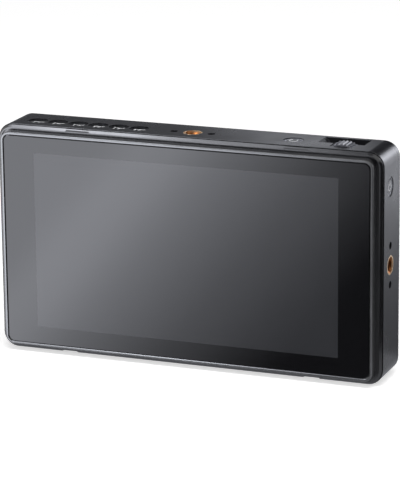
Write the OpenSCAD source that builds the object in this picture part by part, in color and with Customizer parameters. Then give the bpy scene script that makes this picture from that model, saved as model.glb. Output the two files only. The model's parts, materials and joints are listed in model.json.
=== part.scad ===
// Slim camera-top field monitor: 5.5 inch wide screen, controls along the top edge, battery plate behind.
// X runs to the viewer's right, Y runs back from the glass and Z runs up. It stands on its lower edge.
// Depths are counted back from the front plane of the bezel, and heights from the middle of the body.

/* [Body] */
// Width of the body
body_w = 154.4; // [150:0.2:190]
// Height of the body
body_h = 88.8; // [86:0.2:110]
// Depth from the bezel's front plane to the back of the rear cover
body_d = 24.4; // [23.8:0.1:28]
// Radius of the body's four long edges
corner_r = 6; // [5:0.1:7.5]
// Wall of the housing
wall = 1.8; // [1.4:0.1:2.2]
// Thickness of the partition behind the display
web_t = 1; // [0.8:0.1:1.2]
// Thickness of the rear cover
cover_t = 1.7; // [1.4:0.1:2]
// Depth of the rear cover's sides
cover_side = 3.1; // [2.6:0.1:3.4]
// Gap shown between the casing pieces
seam = 0.12; // [0.05:0.01:0.2]
// Play of a piece that fits inside the walls
fit = 0.15; // [0.1:0.01:0.25]

/* [Front] */
// Depth of the ring's front face
ring_front = 3.3; // [2.8:0.1:3.6]
// Chamfer round the ring
ring_chamfer = 1.1; // [0.8:0.1:1.1]
// Step of the ring in from the housing's sides
ring_inset = 0.28; // [0.26:0.01:0.36]
// Flat left inside the ring's chamfer
ring_flat = 0.5; // [0.4:0.1:0.6]
// Depth at which the front frame meets the housing
front_seam = 4.6; // [4.5:0.05:5]
// Depth of the groove's floor behind the ring
groove_floor = 4.1; // [3.9:0.05:4.2]
// Margin from the body's side to the screen bezel
bezel_side = 2.75; // [2.5:0.05:3]
// Margin from the body's top to the screen bezel
bezel_top = 2.3; // [2.2:0.05:2.6]
// Width of the bezel's lip
bezel_t = 1.1; // [1:0.05:1.3]
// Depth of the bezel's back edge
bezel_back = 2; // [1.8:0.1:2.4]
// Rounding of the bezel's outer front edge
bezel_round = 0.45; // [0.3:0.05:0.6]
// Step of the rail behind the bezel
rail_step = 0.35; // [0.2:0.05:0.4]
// Dark gap round the glass
glass_gap = 0.35; // [0.25:0.05:0.4]
// Depth of the glass behind the bezel's front plane
glass_inset = 0.15; // [0.1:0.05:0.25]
// Thickness of the cover glass
glass_t = 0.9; // [0.7:0.05:1]
// Distance of the two top hood pockets from the middle
top_pocket_x = 43.8; // [38:0.1:46]
// Width of a top hood pocket
top_pocket_w = 9.5; // [7:0.1:11]
// Depth of the round that a top hood pocket cuts in the ring
top_pocket_d = 0.95; // [0.6:0.05:1.1]
// Distance of the two bottom hood notches from the middle
notch_x = 49.3; // [44:0.1:56]
// Width of a bottom hood notch
notch_w = 6.7; // [5:0.1:8]
// Height of a bottom hood notch
notch_h = 0.8; // [0.5:0.1:1]

/* [Display] */
// Width of the lit picture
screen_w = 121.76; // [110:0.01:122]
// Height of the lit picture
screen_h = 68.49; // [62:0.01:68.6]
// Rim of the panel round the picture
panel_rim = 2.8; // [2.6:0.1:3.4]
// Thickness of the liquid crystal panel
panel_t = 1.3; // [1:0.1:1.4]
// Thickness of the backlight
backlight_t = 2.9; // [2.2:0.1:2.9]

/* [Controls] */
// Depth of the middle of the control row
control_depth = 12.6; // [12.2:0.1:13.4]
// Distance of the first function button from the left side
button_inset = 13.1; // [12:0.1:14]
// Pitch of the function buttons
button_pitch = 8.35; // [8.2:0.05:8.8]
// Radius of a button's hole
button_hole_r = 3.85; // [3.6:0.05:3.9]
// Gap round a button
button_gap = 0.2; // [0.15:0.01:0.3]
// Depth of a function button's top below the top face
cap_drop = 0.4; // [0.2:0.05:0.5]
// Depth of the return and power buttons' tops below their faces
key_drop = 0.25; // [0.1:0.05:0.4]
// Radius of the hollow in a function button's top
dish_r = 14; // [11:0.5:20]
// Travel of every push button
button_travel = 0.6; // [0.4:0.05:0.7]
// Distance of the round return button from the right side
return_inset = 38; // [36:0.1:39]
// Height of the power button above the middle
power_y = 30; // [29:0.1:31]
// Radius of the scroll wheel over its teeth
wheel_r = 8; // [7.5:0.1:8]
// Thickness of the scroll wheel
wheel_t = 6.8; // [6:0.1:7]
// Number of teeth round the wheel
wheel_teeth = 36; // [24:2:44]
// Chamfer of the wheel's two edges
wheel_chamfer = 0.4; // [0.3:0.1:0.6]
// Distance of the wheel's rim from the right side
wheel_edge = 9.9; // [9.8:0.1:11]
// Height of the wheel above the top face
wheel_proud = 1; // [0.6:0.1:1.2]
// Travel of the wheel when it is pressed
wheel_travel = 0.4; // [0.3:0.05:0.4]
// Radius of the wheel's axle
axle_r = 1; // [0.8:0.05:1.2]
// Running clearance of the axle in its carriage
axle_play = 0.05; // [0.03:0.01:0.08]
// Depth of the wheel's front face
wheel_front = 8.6; // [8.5:0.1:8.9]
// Depth of the front edge of the finger recess beside the wheel
recess_front = 13.2; // [12.6:0.1:13.6]
// Length of the ramp at the recess's left end
ramp = 2.6; // [2:0.1:2.8]

/* [Mounting] */
// Radius of the camera thread, over its crests
thread_r = 3.175; // [3.17:0.005:3.18]
// Outer radius of a brass thread insert
insert_r = 3.7; // [3.6:0.05:4]
// Length of a brass thread insert
insert_len = 8; // [7:0.1:8.4]
// Position of the top insert across the body
top_insert_x = -0.6; // [-2:0.1:2]
// Distance of a locating hole from its insert
pin_offset = 7.5; // [7:0.1:8]
// Radius of a locating hole
pin_r = 1.5; // [1.4:0.05:1.6]
// Depth of a locating hole
pin_depth = 3.2; // [2.5:0.1:3.5]

/* [Battery plate] */
// Width of the battery plate
plate_w = 46.4; // [45:0.1:48]
// Height of the battery plate
plate_h = 70; // [66:0.5:74]
// Thickness of the battery plate
plate_t = 1.2; // [1:0.1:1.4]
// Width of the battery that slides in
battery_w = 38.4; // [38:0.1:38.8]
// Height of the rails over the plate
rail_h = 4.4; // [4.2:0.1:5]
// Reach of the rails' lips over the battery's edges
lip_reach = 1.6; // [1.2:0.1:1.8]
// Thickness of the rails' lips
lip_t = 1.4; // [1.2:0.1:1.6]
// Travel of the battery latch
latch_travel = 1.8; // [1.6:0.1:1.8]

/* [Board and ports] */
// Depth of the main board's front face
board_front = 12; // [11.8:0.1:12.2]
// Thickness of the circuit boards
board_t = 1.2; // [1:0.1:1.4]
// Heights of the headphone, output, input, data and supply ports
port_y = [27, 13.5, -4.5, -18, -28.5];

/* [Hidden] */
$fn = 48;
// everything that stands behind the rear cover
overall_d = body_d + plate_t + rail_h;
cover_front = body_d - cover_t;
cover_edge = body_d - cover_side;
housing_back = cover_edge - seam;
housing_front = front_seam + seam;
// bezel, glass and frame outlines
bezel_w = body_w - 2 * bezel_side;
bezel_h = body_h - 2 * bezel_top;
bezel_r = corner_r - 2.6;
glass_w = bezel_w - 2 * (bezel_t + glass_gap);
glass_h = bezel_h - 2 * (bezel_t + glass_gap);
glass_r = bezel_r - bezel_t - glass_gap + 0.2;
glass_back = glass_inset + glass_t;
gasket_t = 0.2;
ledge = glass_back + gasket_t;
inner_w = body_w - 2 * wall;
inner_h = body_h - 2 * wall;
inner_r = corner_r - wall;
// display stack
panel_w = screen_w + 2 * panel_rim;
panel_h = screen_h + 2 * panel_rim;
window_w = panel_w + 1.2;
window_h = panel_h + 1.2;
panel_back = glass_back + panel_t;
backlight_back = panel_back + backlight_t;
frame_back = backlight_back + 0.75;
web_front = frame_back + 0.2;
web_back = web_front + web_t;
// scroll wheel and its carriage
wheel_x = body_w / 2 - wheel_edge - wheel_r;
wheel_back = wheel_front + wheel_t;
wheel_gap = 0.3;
axle_drop = wheel_r - wheel_proud;
recess_left = wheel_x - wheel_r - 2.5;
recess_right = wheel_x + wheel_r - 0.5;
recess_drop = 3.5;
recess_back = cover_edge + 0.5;
tub_t = 0.7;
tub_left = recess_left - 1.2;
tub_right = recess_right + 1.6;
tub_drop = recess_drop + tub_t;
arm_t = 0.9;
arm_r = 2;
carrier_front = web_back + 0.2;
carrier_back = wheel_back + 0.3 + arm_t;
carrier_base = axle_drop + wheel_r + 0.8;
carrier_base_t = 0.8;
carrier_half = wheel_r + 0.2;
carrier_bottom = carrier_base + carrier_base_t;
encoder_t = 3;
encoder_rise = axle_drop - tub_drop - 0.4;
click_h = 1.4;
click_gap = wheel_travel + 0.15;
bracket_top = carrier_bottom + click_gap + click_h;
bracket_t = 1;
bracket_half = carrier_half + 1.2;
bracket_back = carrier_back + 1.3;
// main board outline and what stands on it
board_back = board_front + board_t;
board_left = -inner_w / 2 + 0.9;
board_right = inner_w / 2 - 11.4;
board_top = body_h / 2 - 13.4;
board_bottom = -body_h / 2 + 11.4;
board_notch_x = wheel_x - bracket_half - 3.3;
board_notch_y = body_h / 2 - bracket_top - bracket_t - 3.75;
standoff_r = 2.2;
standoffs = [[board_left + 18, board_top - 4], [board_notch_x - 6, board_top - 4],
             [board_left + 18, board_bottom + 4], [board_right - 6, board_bottom + 4],
             [board_right - 6, board_notch_y - 5]];
board_screw_r = 0.8;
chip_w = 16;
chip_t = 1.5;
// flex from the display down to the board
flex_t = 0.25;
flex_w = 16;
flex_x = -30;
flex_foot_y = -panel_h / 2 + 2;
flex_rise_y = max(board_bottom + 3, -panel_h / 2 + 6);
// top controls, counted from the top face
button_xs = [for (i = [0:5]) -body_w / 2 + button_inset + i * button_pitch];
return_x = body_w / 2 - return_inset;
return_depth = control_depth + 0.6;
power_depth = control_depth - 0.8;
cap_r = button_hole_r - button_gap;
flange_top = wall + 0.1;
flange_t = 0.8;
flange_half = power_depth - 0.2 - web_back;
stem_end = 5;
switch_h = 1.2;
switch_top = stem_end + button_travel + 0.1;
key_board_top = switch_top + switch_h;
key_board_t = 1;
key_board_bottom = key_board_top + key_board_t;
shelf_t = 1.1;
shelf_z = [-web_back - 2.4, -web_front];
row_ends = [button_xs[0] - 4.6, button_xs[5] + 4.6];
return_ends = [return_x - 5, return_x + 5];
power_board_half = 3.4;
// battery plate
plate_front = body_d;
plate_back = plate_front + plate_t;
slot_half = battery_w / 2 + 0.2;
wing_w = 12.6;
wing_h = 16;
wing_t = 2.2;
latch_y = -14;
latch_h = 8;
latch_t = 1.2;
latch_left = -5;
latch_right = plate_w / 2 + 9.6;
latch_back = plate_front - 0.2;
latch_front = latch_back - latch_t;
latch_play = 1;
release_x = plate_w / 2 + 5.2;
release_r = 3.8;
tab_w = 7;
tab_h = 3.2;
tab_proud = latch_travel - 0.2;
retainer_t = 1;
spring_x = 13;
spring_r = 2.1;
spring_wire = 0.25;
spring_space = 3.6;
coil_turns = 4;
coil_steps = 12 * coil_turns;
coil_sides = 6;
coil_rise = (spring_space - 2 * spring_wire - 0.04) / coil_turns;
retainer_back = latch_front - spring_space;
post_inset = 2.8;
retainer_ends = [latch_left - latch_play - post_inset, latch_right + latch_play + post_inset];
block_w = 30;
block_h = 7;
block_t = 4;
contact_x = 8;
contact_y = -plate_h / 2 + 3.5;
tail_front = cover_front - 1.2;
// ports on the left side
video_w = 15;
video_t = 5.5;
data_w = 8.94;
data_t = 3.2;
supply_r = 2.3;
headphone_r = 1.8;
port_recess = 0.5;
video_depth = board_back + video_t / 2;
data_depth = board_back + data_t / 2;
headphone_depth = board_back + 2.6;
supply_depth = board_back + 3.2;
// screws
corner_screw_x = body_w / 2 - 5.7;
corner_screw_y = body_h / 2 - 5.7;
corner_boss_r = 3;
corner_boss_back = cover_front - 1.1;
cover_head_r = 1.9;
cover_head_t = 1.2;
screw_r = 0.95;
screw_play = 0.08;
frame_screws = [[1, 18], [-1, 18], [1, -18], [-1, -18]];
frame_screw_x = body_w / 2 - 6.7;
plate_screws = [[-14, 29], [14, 29], [-14, -24], [14, -24]];

// ---------------------------------------------------------------- frames of reference

// Front view: x right, y up from the middle, and a depth d lies at z = -d
module front_view() translate([0, -overall_d / 2, body_h / 2]) rotate([90, 0, 0]) children();

// A face of the body with z pointing out of it, at a depth behind the front plane
module top_face(x, depth) translate([x, depth - overall_d / 2, body_h]) children();
module bottom_face(x, depth) translate([x, depth - overall_d / 2, 0]) rotate([180, 0, 0]) children();
module right_face(y, depth)
    translate([body_w / 2, depth - overall_d / 2, body_h / 2 + y]) rotate([0, 90, 0]) children();
module left_face(y, depth)
    translate([-body_w / 2, depth - overall_d / 2, body_h / 2 + y]) rotate([0, -90, 0]) children();

// A flat layer between two depths, in the front view
module layer(front, back) translate([0, 0, -back]) linear_extrude(back - front) children();

// A round bar between two depths, in the front view
module bar(x, y, r, front, back) translate([x, y, -back]) cylinder(r = r, h = back - front);

// ---------------------------------------------------------------- shared shapes

module rounded_rect(w, h, r) {
    square([w - 2 * r, h], center = true);
    square([w, h - 2 * r], center = true);
    for (sx = [-1, 1], sy = [-1, 1])
        translate([sx * (w / 2 - r), sy * (h / 2 - r)]) circle(r = r);
}

// Box given by its corner ranges, in whichever frame it is used
module span(x, y, z) translate([x[0], y[0], z[0]]) cube([x[1] - x[0], y[1] - y[0], z[1] - z[0]]);

// One straight side of a swept frame
module sweep_side(across, along, r)
    translate([across / 2, along / 2 - r, 0])
        rotate([90, 0, 0]) linear_extrude(along - 2 * r) rotate(180) children();

// Sweeps a profile round a rounded rectangle. Its x runs inward from the outline and its y runs back.
module frame_sweep(w, h, r) {
    for (turn = [0, 180]) {
        rotate(turn) sweep_side(w, h, r) children();
        rotate(turn + 90) sweep_side(h, w, r) children();
    }
    for (turn = [0:90:270])
        rotate(turn) {
            across = turn % 180 == 0 ? w : h;
            along = turn % 180 == 0 ? h : w;
            translate([across / 2 - r, along / 2 - r, 0])
                rotate_extrude(angle = 90) translate([r, 0]) rotate(180) children();
        }
}

// Machine screw pointing to -z, with its head's top at z = 0
module pan_screw(head_r, head_t, length) {
    difference() {
        union() {
            translate([0, 0, -head_t]) cylinder(r = head_r, h = head_t);
            translate([0, 0, -head_t - length]) cylinder(r = screw_r, h = length + 0.2);
        }
        for (turn = [0, 90]) rotate(turn) span([-1, 1], [-0.2, 0.2], [-0.6, 0.1]);
    }
}

module flat_screw(head_r, length) {
    difference() {
        union() {
            translate([0, 0, -0.9]) cylinder(r1 = screw_r, r2 = head_r, h = 0.9);
            translate([0, 0, -length]) cylinder(r = screw_r, h = length - 0.5);
        }
        for (turn = [0, 90]) rotate(turn) span([-1, 1], [-0.2, 0.2], [-0.6, 0.1]);
    }
}

// ---------------------------------------------------------------- display

module cover_glass() color([0.03, 0.03, 0.04]) front_view() {
    layer(glass_inset, glass_back) rounded_rect(glass_w, glass_h, glass_r);
}

module screen_bezel() color([0.32, 0.33, 0.35]) front_view() {
    inner_round = 0.2;
    outer_arc = [for (a = [0:18:90]) [bezel_round * (1 - cos(a)), bezel_round * (1 - sin(a))]];
    inner_edge = [[bezel_t - inner_round, 0], [bezel_t, inner_round], [bezel_t, bezel_back]];
    frame_sweep(bezel_w, bezel_h, bezel_r) polygon(concat([[0, bezel_back]], outer_arc, inner_edge));
}

module panel_gasket() color([0.1, 0.1, 0.1]) front_view() {
    layer(glass_back, ledge) difference() {
        rounded_rect(glass_w - 1.2, glass_h - 1.2, glass_r);
        square([window_w + 1, window_h + 1], center = true);
    }
}

module lcd_panel() color([0.12, 0.13, 0.16]) front_view() {
    layer(glass_back, panel_back) square([panel_w, panel_h], center = true);
}

module backlight_unit() color([0.75, 0.76, 0.78]) front_view() difference() {
    layer(panel_back, backlight_back) rounded_rect(panel_w, panel_h, 1);
    for (sx = [-1, 1])
        layer(backlight_back - 0.4, backlight_back + 1)
            translate([sx * panel_w / 4, 0]) rounded_rect(panel_w / 2 - 8, panel_h - 10, 2);
}

module display_flex() color([0.75, 0.45, 0.12]) front_view() {
    flex_end_y = flex_rise_y + 4;
    translate([flex_x, 0, 0]) rotate([90, 0, 90]) linear_extrude(flex_w) polygon([
        [flex_foot_y, -backlight_back], [flex_rise_y + flex_t, -backlight_back],
        [flex_rise_y + flex_t, flex_t - board_front], [flex_end_y, flex_t - board_front],
        [flex_end_y, -board_front], [flex_rise_y, -board_front],
        [flex_rise_y, -backlight_back - flex_t], [flex_foot_y, -backlight_back - flex_t]]);
}

// ---------------------------------------------------------------- casing

// Each top pocket rounds the ring off, from its upper side near the seam down into the groove
module hood_pockets() for (sx = [-1, 1]) {
    pocket_back = front_seam - 0.2;
    low_y = body_h / 2 - ring_chamfer - ring_flat - 0.1;
    high_y = body_h / 2 - ring_inset;
    round_off = [for (a = [0:10:90])
        [low_y + (high_y - low_y) * sin(a), top_pocket_d * cos(a) - pocket_back]];
    outside = [[high_y + 1, -pocket_back], [high_y + 1, -ring_front + 1], [low_y, -ring_front + 1]];
    translate([sx * top_pocket_x - top_pocket_w / 2, 0, 0]) rotate([90, 0, 90])
        linear_extrude(top_pocket_w) polygon(concat(round_off, outside));
}

module hood_notches() for (sx = [-1, 1])
    span([sx * notch_x - notch_w / 2, sx * notch_x + notch_w / 2],
         [-body_h / 2 - 1, -body_h / 2 + notch_h], [-front_seam - 1.4, -ring_front + 1]);

module front_frame() color([0.05, 0.05, 0.055]) front_view() difference() {
    base_w = inner_w - 2 * fit;
    base_h = inner_h - 2 * fit;
    ledge_play = 0.05;
    ledge_w = bezel_w - 2 * (bezel_t + ledge_play);
    ledge_h = bezel_h - 2 * (bezel_t + ledge_play);
    union() {
        frame_sweep(body_w, body_h, corner_r) polygon([
            [ring_inset, front_seam], [ring_inset, ring_front + ring_chamfer - ring_inset],
            [ring_chamfer, ring_front], [ring_chamfer + ring_flat, ring_front],
            [ring_chamfer + ring_flat, groove_floor],
            [wall + 2, groove_floor], [wall + 2, front_seam]]);
        layer(groove_floor, frame_back) rounded_rect(base_w, base_h, inner_r - fit);
        layer(bezel_back, groove_floor + 0.3)
            rounded_rect(bezel_w + 2 * rail_step, bezel_h + 2 * rail_step, bezel_r + rail_step);
        layer(ledge, bezel_back + 0.3) rounded_rect(ledge_w, ledge_h, bezel_r - bezel_t - ledge_play);
    }
    layer(ledge - 1, frame_back + 1) square([window_w, window_h], center = true);
    // hollows behind the side borders, on each side of the screws
    hollow_w = (inner_w - window_w) / 2 - 4.2;
    hollow_x = (inner_w + window_w) / 4;
    for (sx = [-1, 1], sy = [-1, 0, 1])
        layer(ledge + 1.6, frame_back + 1) translate([sx * hollow_x, sy * (window_h / 2 - 12)])
            rounded_rect(hollow_w, sy == 0 ? 26 : 10, 1);
    for (s = frame_screws)
        bar(s[0] * frame_screw_x, s[1], screw_r + screw_play, frame_back - 3, frame_back + 1);
    hood_pockets();
    hood_notches();
}

module front_frame_screws() color([0.6, 0.6, 0.62]) front_view() for (s = frame_screws)
    translate([s[0] * frame_screw_x, s[1], -web_back - 1]) rotate([180, 0, 0])
        pan_screw(1.8, 1, web_back - frame_back + 2.6);

// Opening of the finger recess, seen along the depth: x across the body, y up from the top face
module recess_outline() polygon([
    [recess_left, 0], [recess_left, 1], [recess_right, 1], [recess_right, -recess_drop],
    [recess_left + ramp, -recess_drop], [recess_left + ramp, -ramp]]);

module wheel_recess() translate([0, body_h / 2, -recess_back])
    linear_extrude(recess_back - recess_front) recess_outline();

// Round room for the wheel, at rest and pressed
module wheel_room() for (press = [0, wheel_travel])
    bar(wheel_x, body_h / 2 - axle_drop - press, wheel_r + wheel_gap,
        wheel_front - wheel_gap, wheel_back + wheel_gap);

// Boss, thread hole and two locating holes on one face of the body
module insert_boss() {
    boss_r = insert_r + 1.6;
    translate([0, 0, -insert_len - 1.2]) cylinder(r = boss_r, h = insert_len + 0.6);
}
module insert_hole() translate([0, 0, -insert_len]) cylinder(r = insert_r, h = insert_len + 1);
module pin_bosses() for (s = [-1, 1]) translate([s * pin_offset, 0, -pin_depth - 1.2])
    cylinder(r = pin_r + 1.2, h = pin_depth + 0.6);
module pin_holes() for (s = [-1, 1]) translate([s * pin_offset, 0, -pin_depth])
    cylinder(r = pin_r, h = pin_depth + 1);

module button_hole() translate([0, 0, -wall - 0.5]) cylinder(r = button_hole_r, h = wall + 1);

module port_opening(w, t, r) translate([0, 0, -wall - 0.6]) linear_extrude(wall + 1) rounded_rect(w, t, r);

module main_housing() color([0.2, 0.2, 0.215]) difference() {
    union() {
        front_view() {
            bevel = 0.25;
            frame_sweep(body_w, body_h, corner_r) polygon([
                [bevel, housing_front], [0, housing_front + bevel], [0, housing_back],
                [wall, housing_back], [wall, housing_front]]);
            layer(web_front, web_back) rounded_rect(inner_w + wall, inner_h + wall, inner_r + wall / 2);
            for (sx = [-1, 1], sy = [-1, 1])
                bar(sx * corner_screw_x, sy * corner_screw_y, corner_boss_r,
                    web_back - 0.3, corner_boss_back);
            for (s = standoffs) bar(s[0], s[1], standoff_r, web_back - 0.3, board_front);
            // shelves under the two key boards and the wheel bracket
            for (x = [row_ends, return_ends])
                span(x, [body_h / 2 - key_board_bottom - shelf_t, body_h / 2 - key_board_bottom], shelf_z);
            span([wheel_x - bracket_half, wheel_x + bracket_half],
                 [body_h / 2 - bracket_top - bracket_t - shelf_t, body_h / 2 - bracket_top - bracket_t],
                 [-bracket_back, -web_front]);
            // ledge that holds the power key's board upright
            span([body_w / 2 - key_board_bottom - 0.5, body_w / 2 - key_board_bottom],
                 [power_y - power_board_half, power_y + power_board_half], shelf_z);
            // tub round the finger recess
            span([tub_left, tub_right], [body_h / 2 - tub_drop, body_h / 2 - wall / 2],
                 [-housing_back, -recess_front + 1.2]);
        }
        top_face(top_insert_x, control_depth) { insert_boss(); pin_bosses(); }
        right_face(0, control_depth) { insert_boss(); pin_bosses(); }
        bottom_face(0, control_depth) { insert_boss(); pin_bosses(); }
    }
    top_face(top_insert_x, control_depth) { insert_hole(); pin_holes(); }
    right_face(0, control_depth) { insert_hole(); pin_holes(); }
    bottom_face(0, control_depth) { insert_hole(); pin_holes(); }
    for (x = button_xs) top_face(x, control_depth) button_hole();
    top_face(return_x, return_depth) button_hole();
    right_face(power_y, power_depth) button_hole();
    front_view() {
        wheel_recess();
        wheel_room();
        hood_notches();
        for (sx = [-1, 1], sy = [-1, 1])
            bar(sx * corner_screw_x, sy * corner_screw_y, screw_r + screw_play,
                corner_boss_back - 8, corner_boss_back + 1);
        for (s = standoffs) bar(s[0], s[1], board_screw_r + screw_play, board_front - 3.6, board_front + 1);
        for (s = frame_screws) bar(s[0] * frame_screw_x, s[1], screw_r + 0.15, web_front - 1, web_back + 1);
        // slot for the display's flex
        span([flex_x - 1, flex_x + flex_w + 1], [flex_rise_y - 0.8, flex_rise_y + 1.2],
             [-web_back - 1, -web_front + 1]);
    }
    left_face(port_y[0], headphone_depth) port_opening(6.6, 6.6, 3.25);
    for (y = [port_y[1], port_y[2]])
        left_face(y, video_depth) port_opening(video_w + 0.8, video_t + 0.8, 0.9);
    left_face(port_y[3], data_depth) port_opening(data_w + 0.8, data_t + 0.8, data_t / 2 + 0.35);
    left_face(port_y[4], supply_depth) port_opening(supply_r * 2 + 1.9, supply_r * 2 + 1.9, supply_r + 0.9);
}

module rear_cover() color([0.2, 0.2, 0.215]) front_view() difference() {
    edge = 0.75;
    rim_in = wall + fit;
    rim_t = 1;
    rim_z = [-cover_front - 0.2, -cover_edge + 1.3];
    side_in = rim_in + 0.2;
    union() {
        frame_sweep(body_w, body_h, corner_r) polygon([
            [0, cover_edge], [0, body_d - edge], [edge * 0.3, body_d - edge * 0.3], [edge, body_d],
            [wall + 2, body_d], [wall + 2, cover_front], [side_in, cover_front], [side_in, cover_edge]]);
        layer(cover_front, body_d) rounded_rect(inner_w, inner_h, inner_r);
        // rims that locate the cover inside the housing's walls
        rim_x = body_w / 2 - rim_in;
        rim_y = body_h / 2 - rim_in;
        span([-inner_w / 2 + 13, inner_w / 2 - 13], [-rim_y, -rim_y + rim_t], rim_z);
        span([-inner_w / 2 + 13, recess_left - 4], [rim_y - rim_t, rim_y], rim_z);
        span([-rim_x, -rim_x + rim_t], [-inner_h / 2 + 11, inner_h / 2 - 11], rim_z);
        span([rim_x - rim_t, rim_x], [-inner_h / 2 + 11, inner_h / 2 - 19], rim_z);
        // block that closes the finger recess at the back
        span([tub_left, tub_right], [body_h / 2 - tub_drop, body_h / 2 - wall / 2],
             [-cover_front - 0.2, -cover_edge]);
        for (sx = [-1, 1], sy = [-1, 1])
            bar(sx * corner_screw_x, sy * corner_screw_y, corner_boss_r, corner_boss_back, cover_front + 0.2);
        for (s = plate_screws) bar(s[0], s[1], 2.4, cover_front - 2.4, cover_front + 0.2);
        for (x = retainer_ends) bar(x, latch_y, 2, retainer_back, cover_front + 0.2);
    }
    wheel_recess();
    for (sx = [-1, 1], sy = [-1, 1]) {
        bar(sx * corner_screw_x, sy * corner_screw_y, screw_r + 0.15, corner_boss_back - 1, body_d + 1);
        bar(sx * corner_screw_x, sy * corner_screw_y, cover_head_r + 0.15,
            body_d - cover_head_t - 0.1, body_d + 1);
    }
    for (s = plate_screws) bar(s[0], s[1], screw_r + screw_play, cover_front - 2, body_d + 1);
    for (x = retainer_ends) bar(x, latch_y, screw_r + screw_play, retainer_back - 1, retainer_back + 2.6);
    // window for the latch, holes for the contact tails, and the vents
    span([latch_left - latch_play, latch_right + latch_play],
         [latch_y - latch_h / 2 - latch_play, latch_y + latch_h / 2 + latch_play],
         [-body_d - 1, -cover_front + 1]);
    contact_holes(-body_d - 1, -cover_front + 1);
    vent_pitch = 3.6;
    vent_w = 20;
    vent_t = 1.5;
    vent_x = body_w / 4 + plate_w / 4 + wing_w / 2 - 3.5;
    vent_y = -1.4;
    for (sx = [-1, 1], i = [0:7]) layer(cover_front - 1, body_d + 1)
        translate([sx * vent_x, vent_y + i * vent_pitch]) rounded_rect(vent_w, vent_t, vent_t / 2 - 0.02);
}

module rear_cover_screws() color([0.6, 0.6, 0.62]) front_view() for (sx = [-1, 1], sy = [-1, 1])
    translate([sx * corner_screw_x, sy * corner_screw_y, -body_d + 0.1]) rotate([180, 0, 0])
        pan_screw(cover_head_r, cover_head_t, 7);

// ---------------------------------------------------------------- battery plate

// Holes that the contacts' tails pass through
module contact_holes(z0, z1) for (i = [-1:1])
    span([i * contact_x - 1, i * contact_x + 1], [contact_y - 1.2, contact_y + 1.2], [z0, z1]);

// One side rail with its lip, running down the plate
module battery_rail() {
    rail_top = plate_h / 2;
    rail_bottom = -plate_h / 2 + block_h;
    rail_z = [-plate_back - rail_h, -plate_back + 0.2];
    lip_len = 14;
    difference() {
        union() {
            span([slot_half, plate_w / 2], [-plate_h / 2 + 3, rail_top - 3], rail_z);
            span([slot_half, plate_w / 2 - 3], [-plate_h / 2, rail_top], rail_z);
            for (sy = [-1, 1]) translate([plate_w / 2 - 3, sy * (plate_h / 2 - 3), -plate_back - rail_h])
                cylinder(r = 3, h = rail_h + 0.2);
            for (y = [rail_bottom, (rail_bottom + rail_top - lip_len) / 2, rail_top - lip_len])
                span([battery_w / 2 - lip_reach, slot_half + 0.5], [y, y + lip_len],
                     [-plate_back - rail_h, -plate_back - rail_h + lip_t]);
        }
        // lead-in at the top end, where the battery starts
        translate([slot_half, plate_h / 2, -plate_back - rail_h - 1]) rotate(45)
            cube([1.8, 1.8, rail_h + 0.8], center = false);
        span([0, slot_half], [-plate_h, plate_h], [-plate_back, 0]);
    }
}

module battery_plate() color([0.07, 0.07, 0.075]) front_view() difference() {
    union() {
        layer(plate_front, plate_back) rounded_rect(plate_w, plate_h, 3);
        layer(plate_front, plate_front + wing_t)
            translate([(plate_w + wing_w - 3) / 2, latch_y]) rounded_rect(wing_w + 3, wing_h, 3);
        battery_rail();
        mirror([1, 0, 0]) battery_rail();
    }
    for (s = plate_screws) {
        bar(s[0], s[1], screw_r + 0.15, plate_front - 1, plate_back + 1);
        translate([s[0], s[1], -plate_back - 0.01]) cylinder(r1 = 2, r2 = screw_r + 0.1, h = 0.95);
    }
    span([-tab_w / 2 - 0.3, tab_w / 2 + 0.3], [latch_y - 0.3, latch_y + tab_h + 0.3],
         [-plate_back - 1, -plate_front + 1]);
    bar(release_x, latch_y, release_r + 0.25, plate_front - 1, plate_front + wing_t + 1);
    contact_holes(-plate_back - 1, -plate_front + 1);
}

module battery_plate_screws() color([0.6, 0.6, 0.62]) front_view() for (s = plate_screws)
    translate([s[0], s[1], -plate_back]) rotate([180, 0, 0]) flat_screw(1.9, 4.6);

module contact_block() color([0.04, 0.04, 0.045]) front_view() difference() {
    top_edge = -plate_h / 2 + block_h;
    rotate([90, 0, 90]) translate([0, 0, -block_w / 2]) linear_extrude(block_w) polygon([
        [-plate_h / 2 + 0.6, -plate_back], [top_edge, -plate_back], [top_edge, -plate_back - block_t],
        [-plate_h / 2 + 2.2, -plate_back - block_t], [-plate_h / 2 + 0.6, -plate_back - block_t + 1.6]]);
    for (i = [-1:1]) {
        span([i * contact_x - 0.5, i * contact_x + 0.5], [contact_y - 0.5, top_edge + 1],
             [-plate_back - 3, -plate_back + 1]);
    }
    // gaps between the contact guides
    for (s = [-0.5, 0.5]) span([s * contact_x - 2, s * contact_x + 2],
        [top_edge - 1.2, top_edge + 1], [-plate_back - block_t - 1, -plate_back - 1]);
}

module battery_contacts() color([0.85, 0.68, 0.3]) front_view() for (i = [-1:1]) {
    top_edge = -plate_h / 2 + block_h;
    blade_t = 0.8;
    translate([i * contact_x - blade_t / 2, 0, 0]) rotate([90, 0, 90]) linear_extrude(blade_t) polygon([
        [contact_y - 0.4, -tail_front], [contact_y + 0.4, -tail_front],
        [contact_y + 0.4, -plate_back - 1.1], [top_edge + 4.6, -plate_back - 1.1],
        [top_edge + 5.2, -plate_back - 1.6], [top_edge + 5.2, -plate_back - 2.2],
        [top_edge + 4.6, -plate_back - 2.7], [contact_y - 0.4, -plate_back - 2.7]]);
}

module battery_leads() color([0.6, 0.1, 0.1]) front_view() for (i = [-1:1])
    bar(i * contact_x, contact_y, 0.5, board_back, tail_front);

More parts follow.
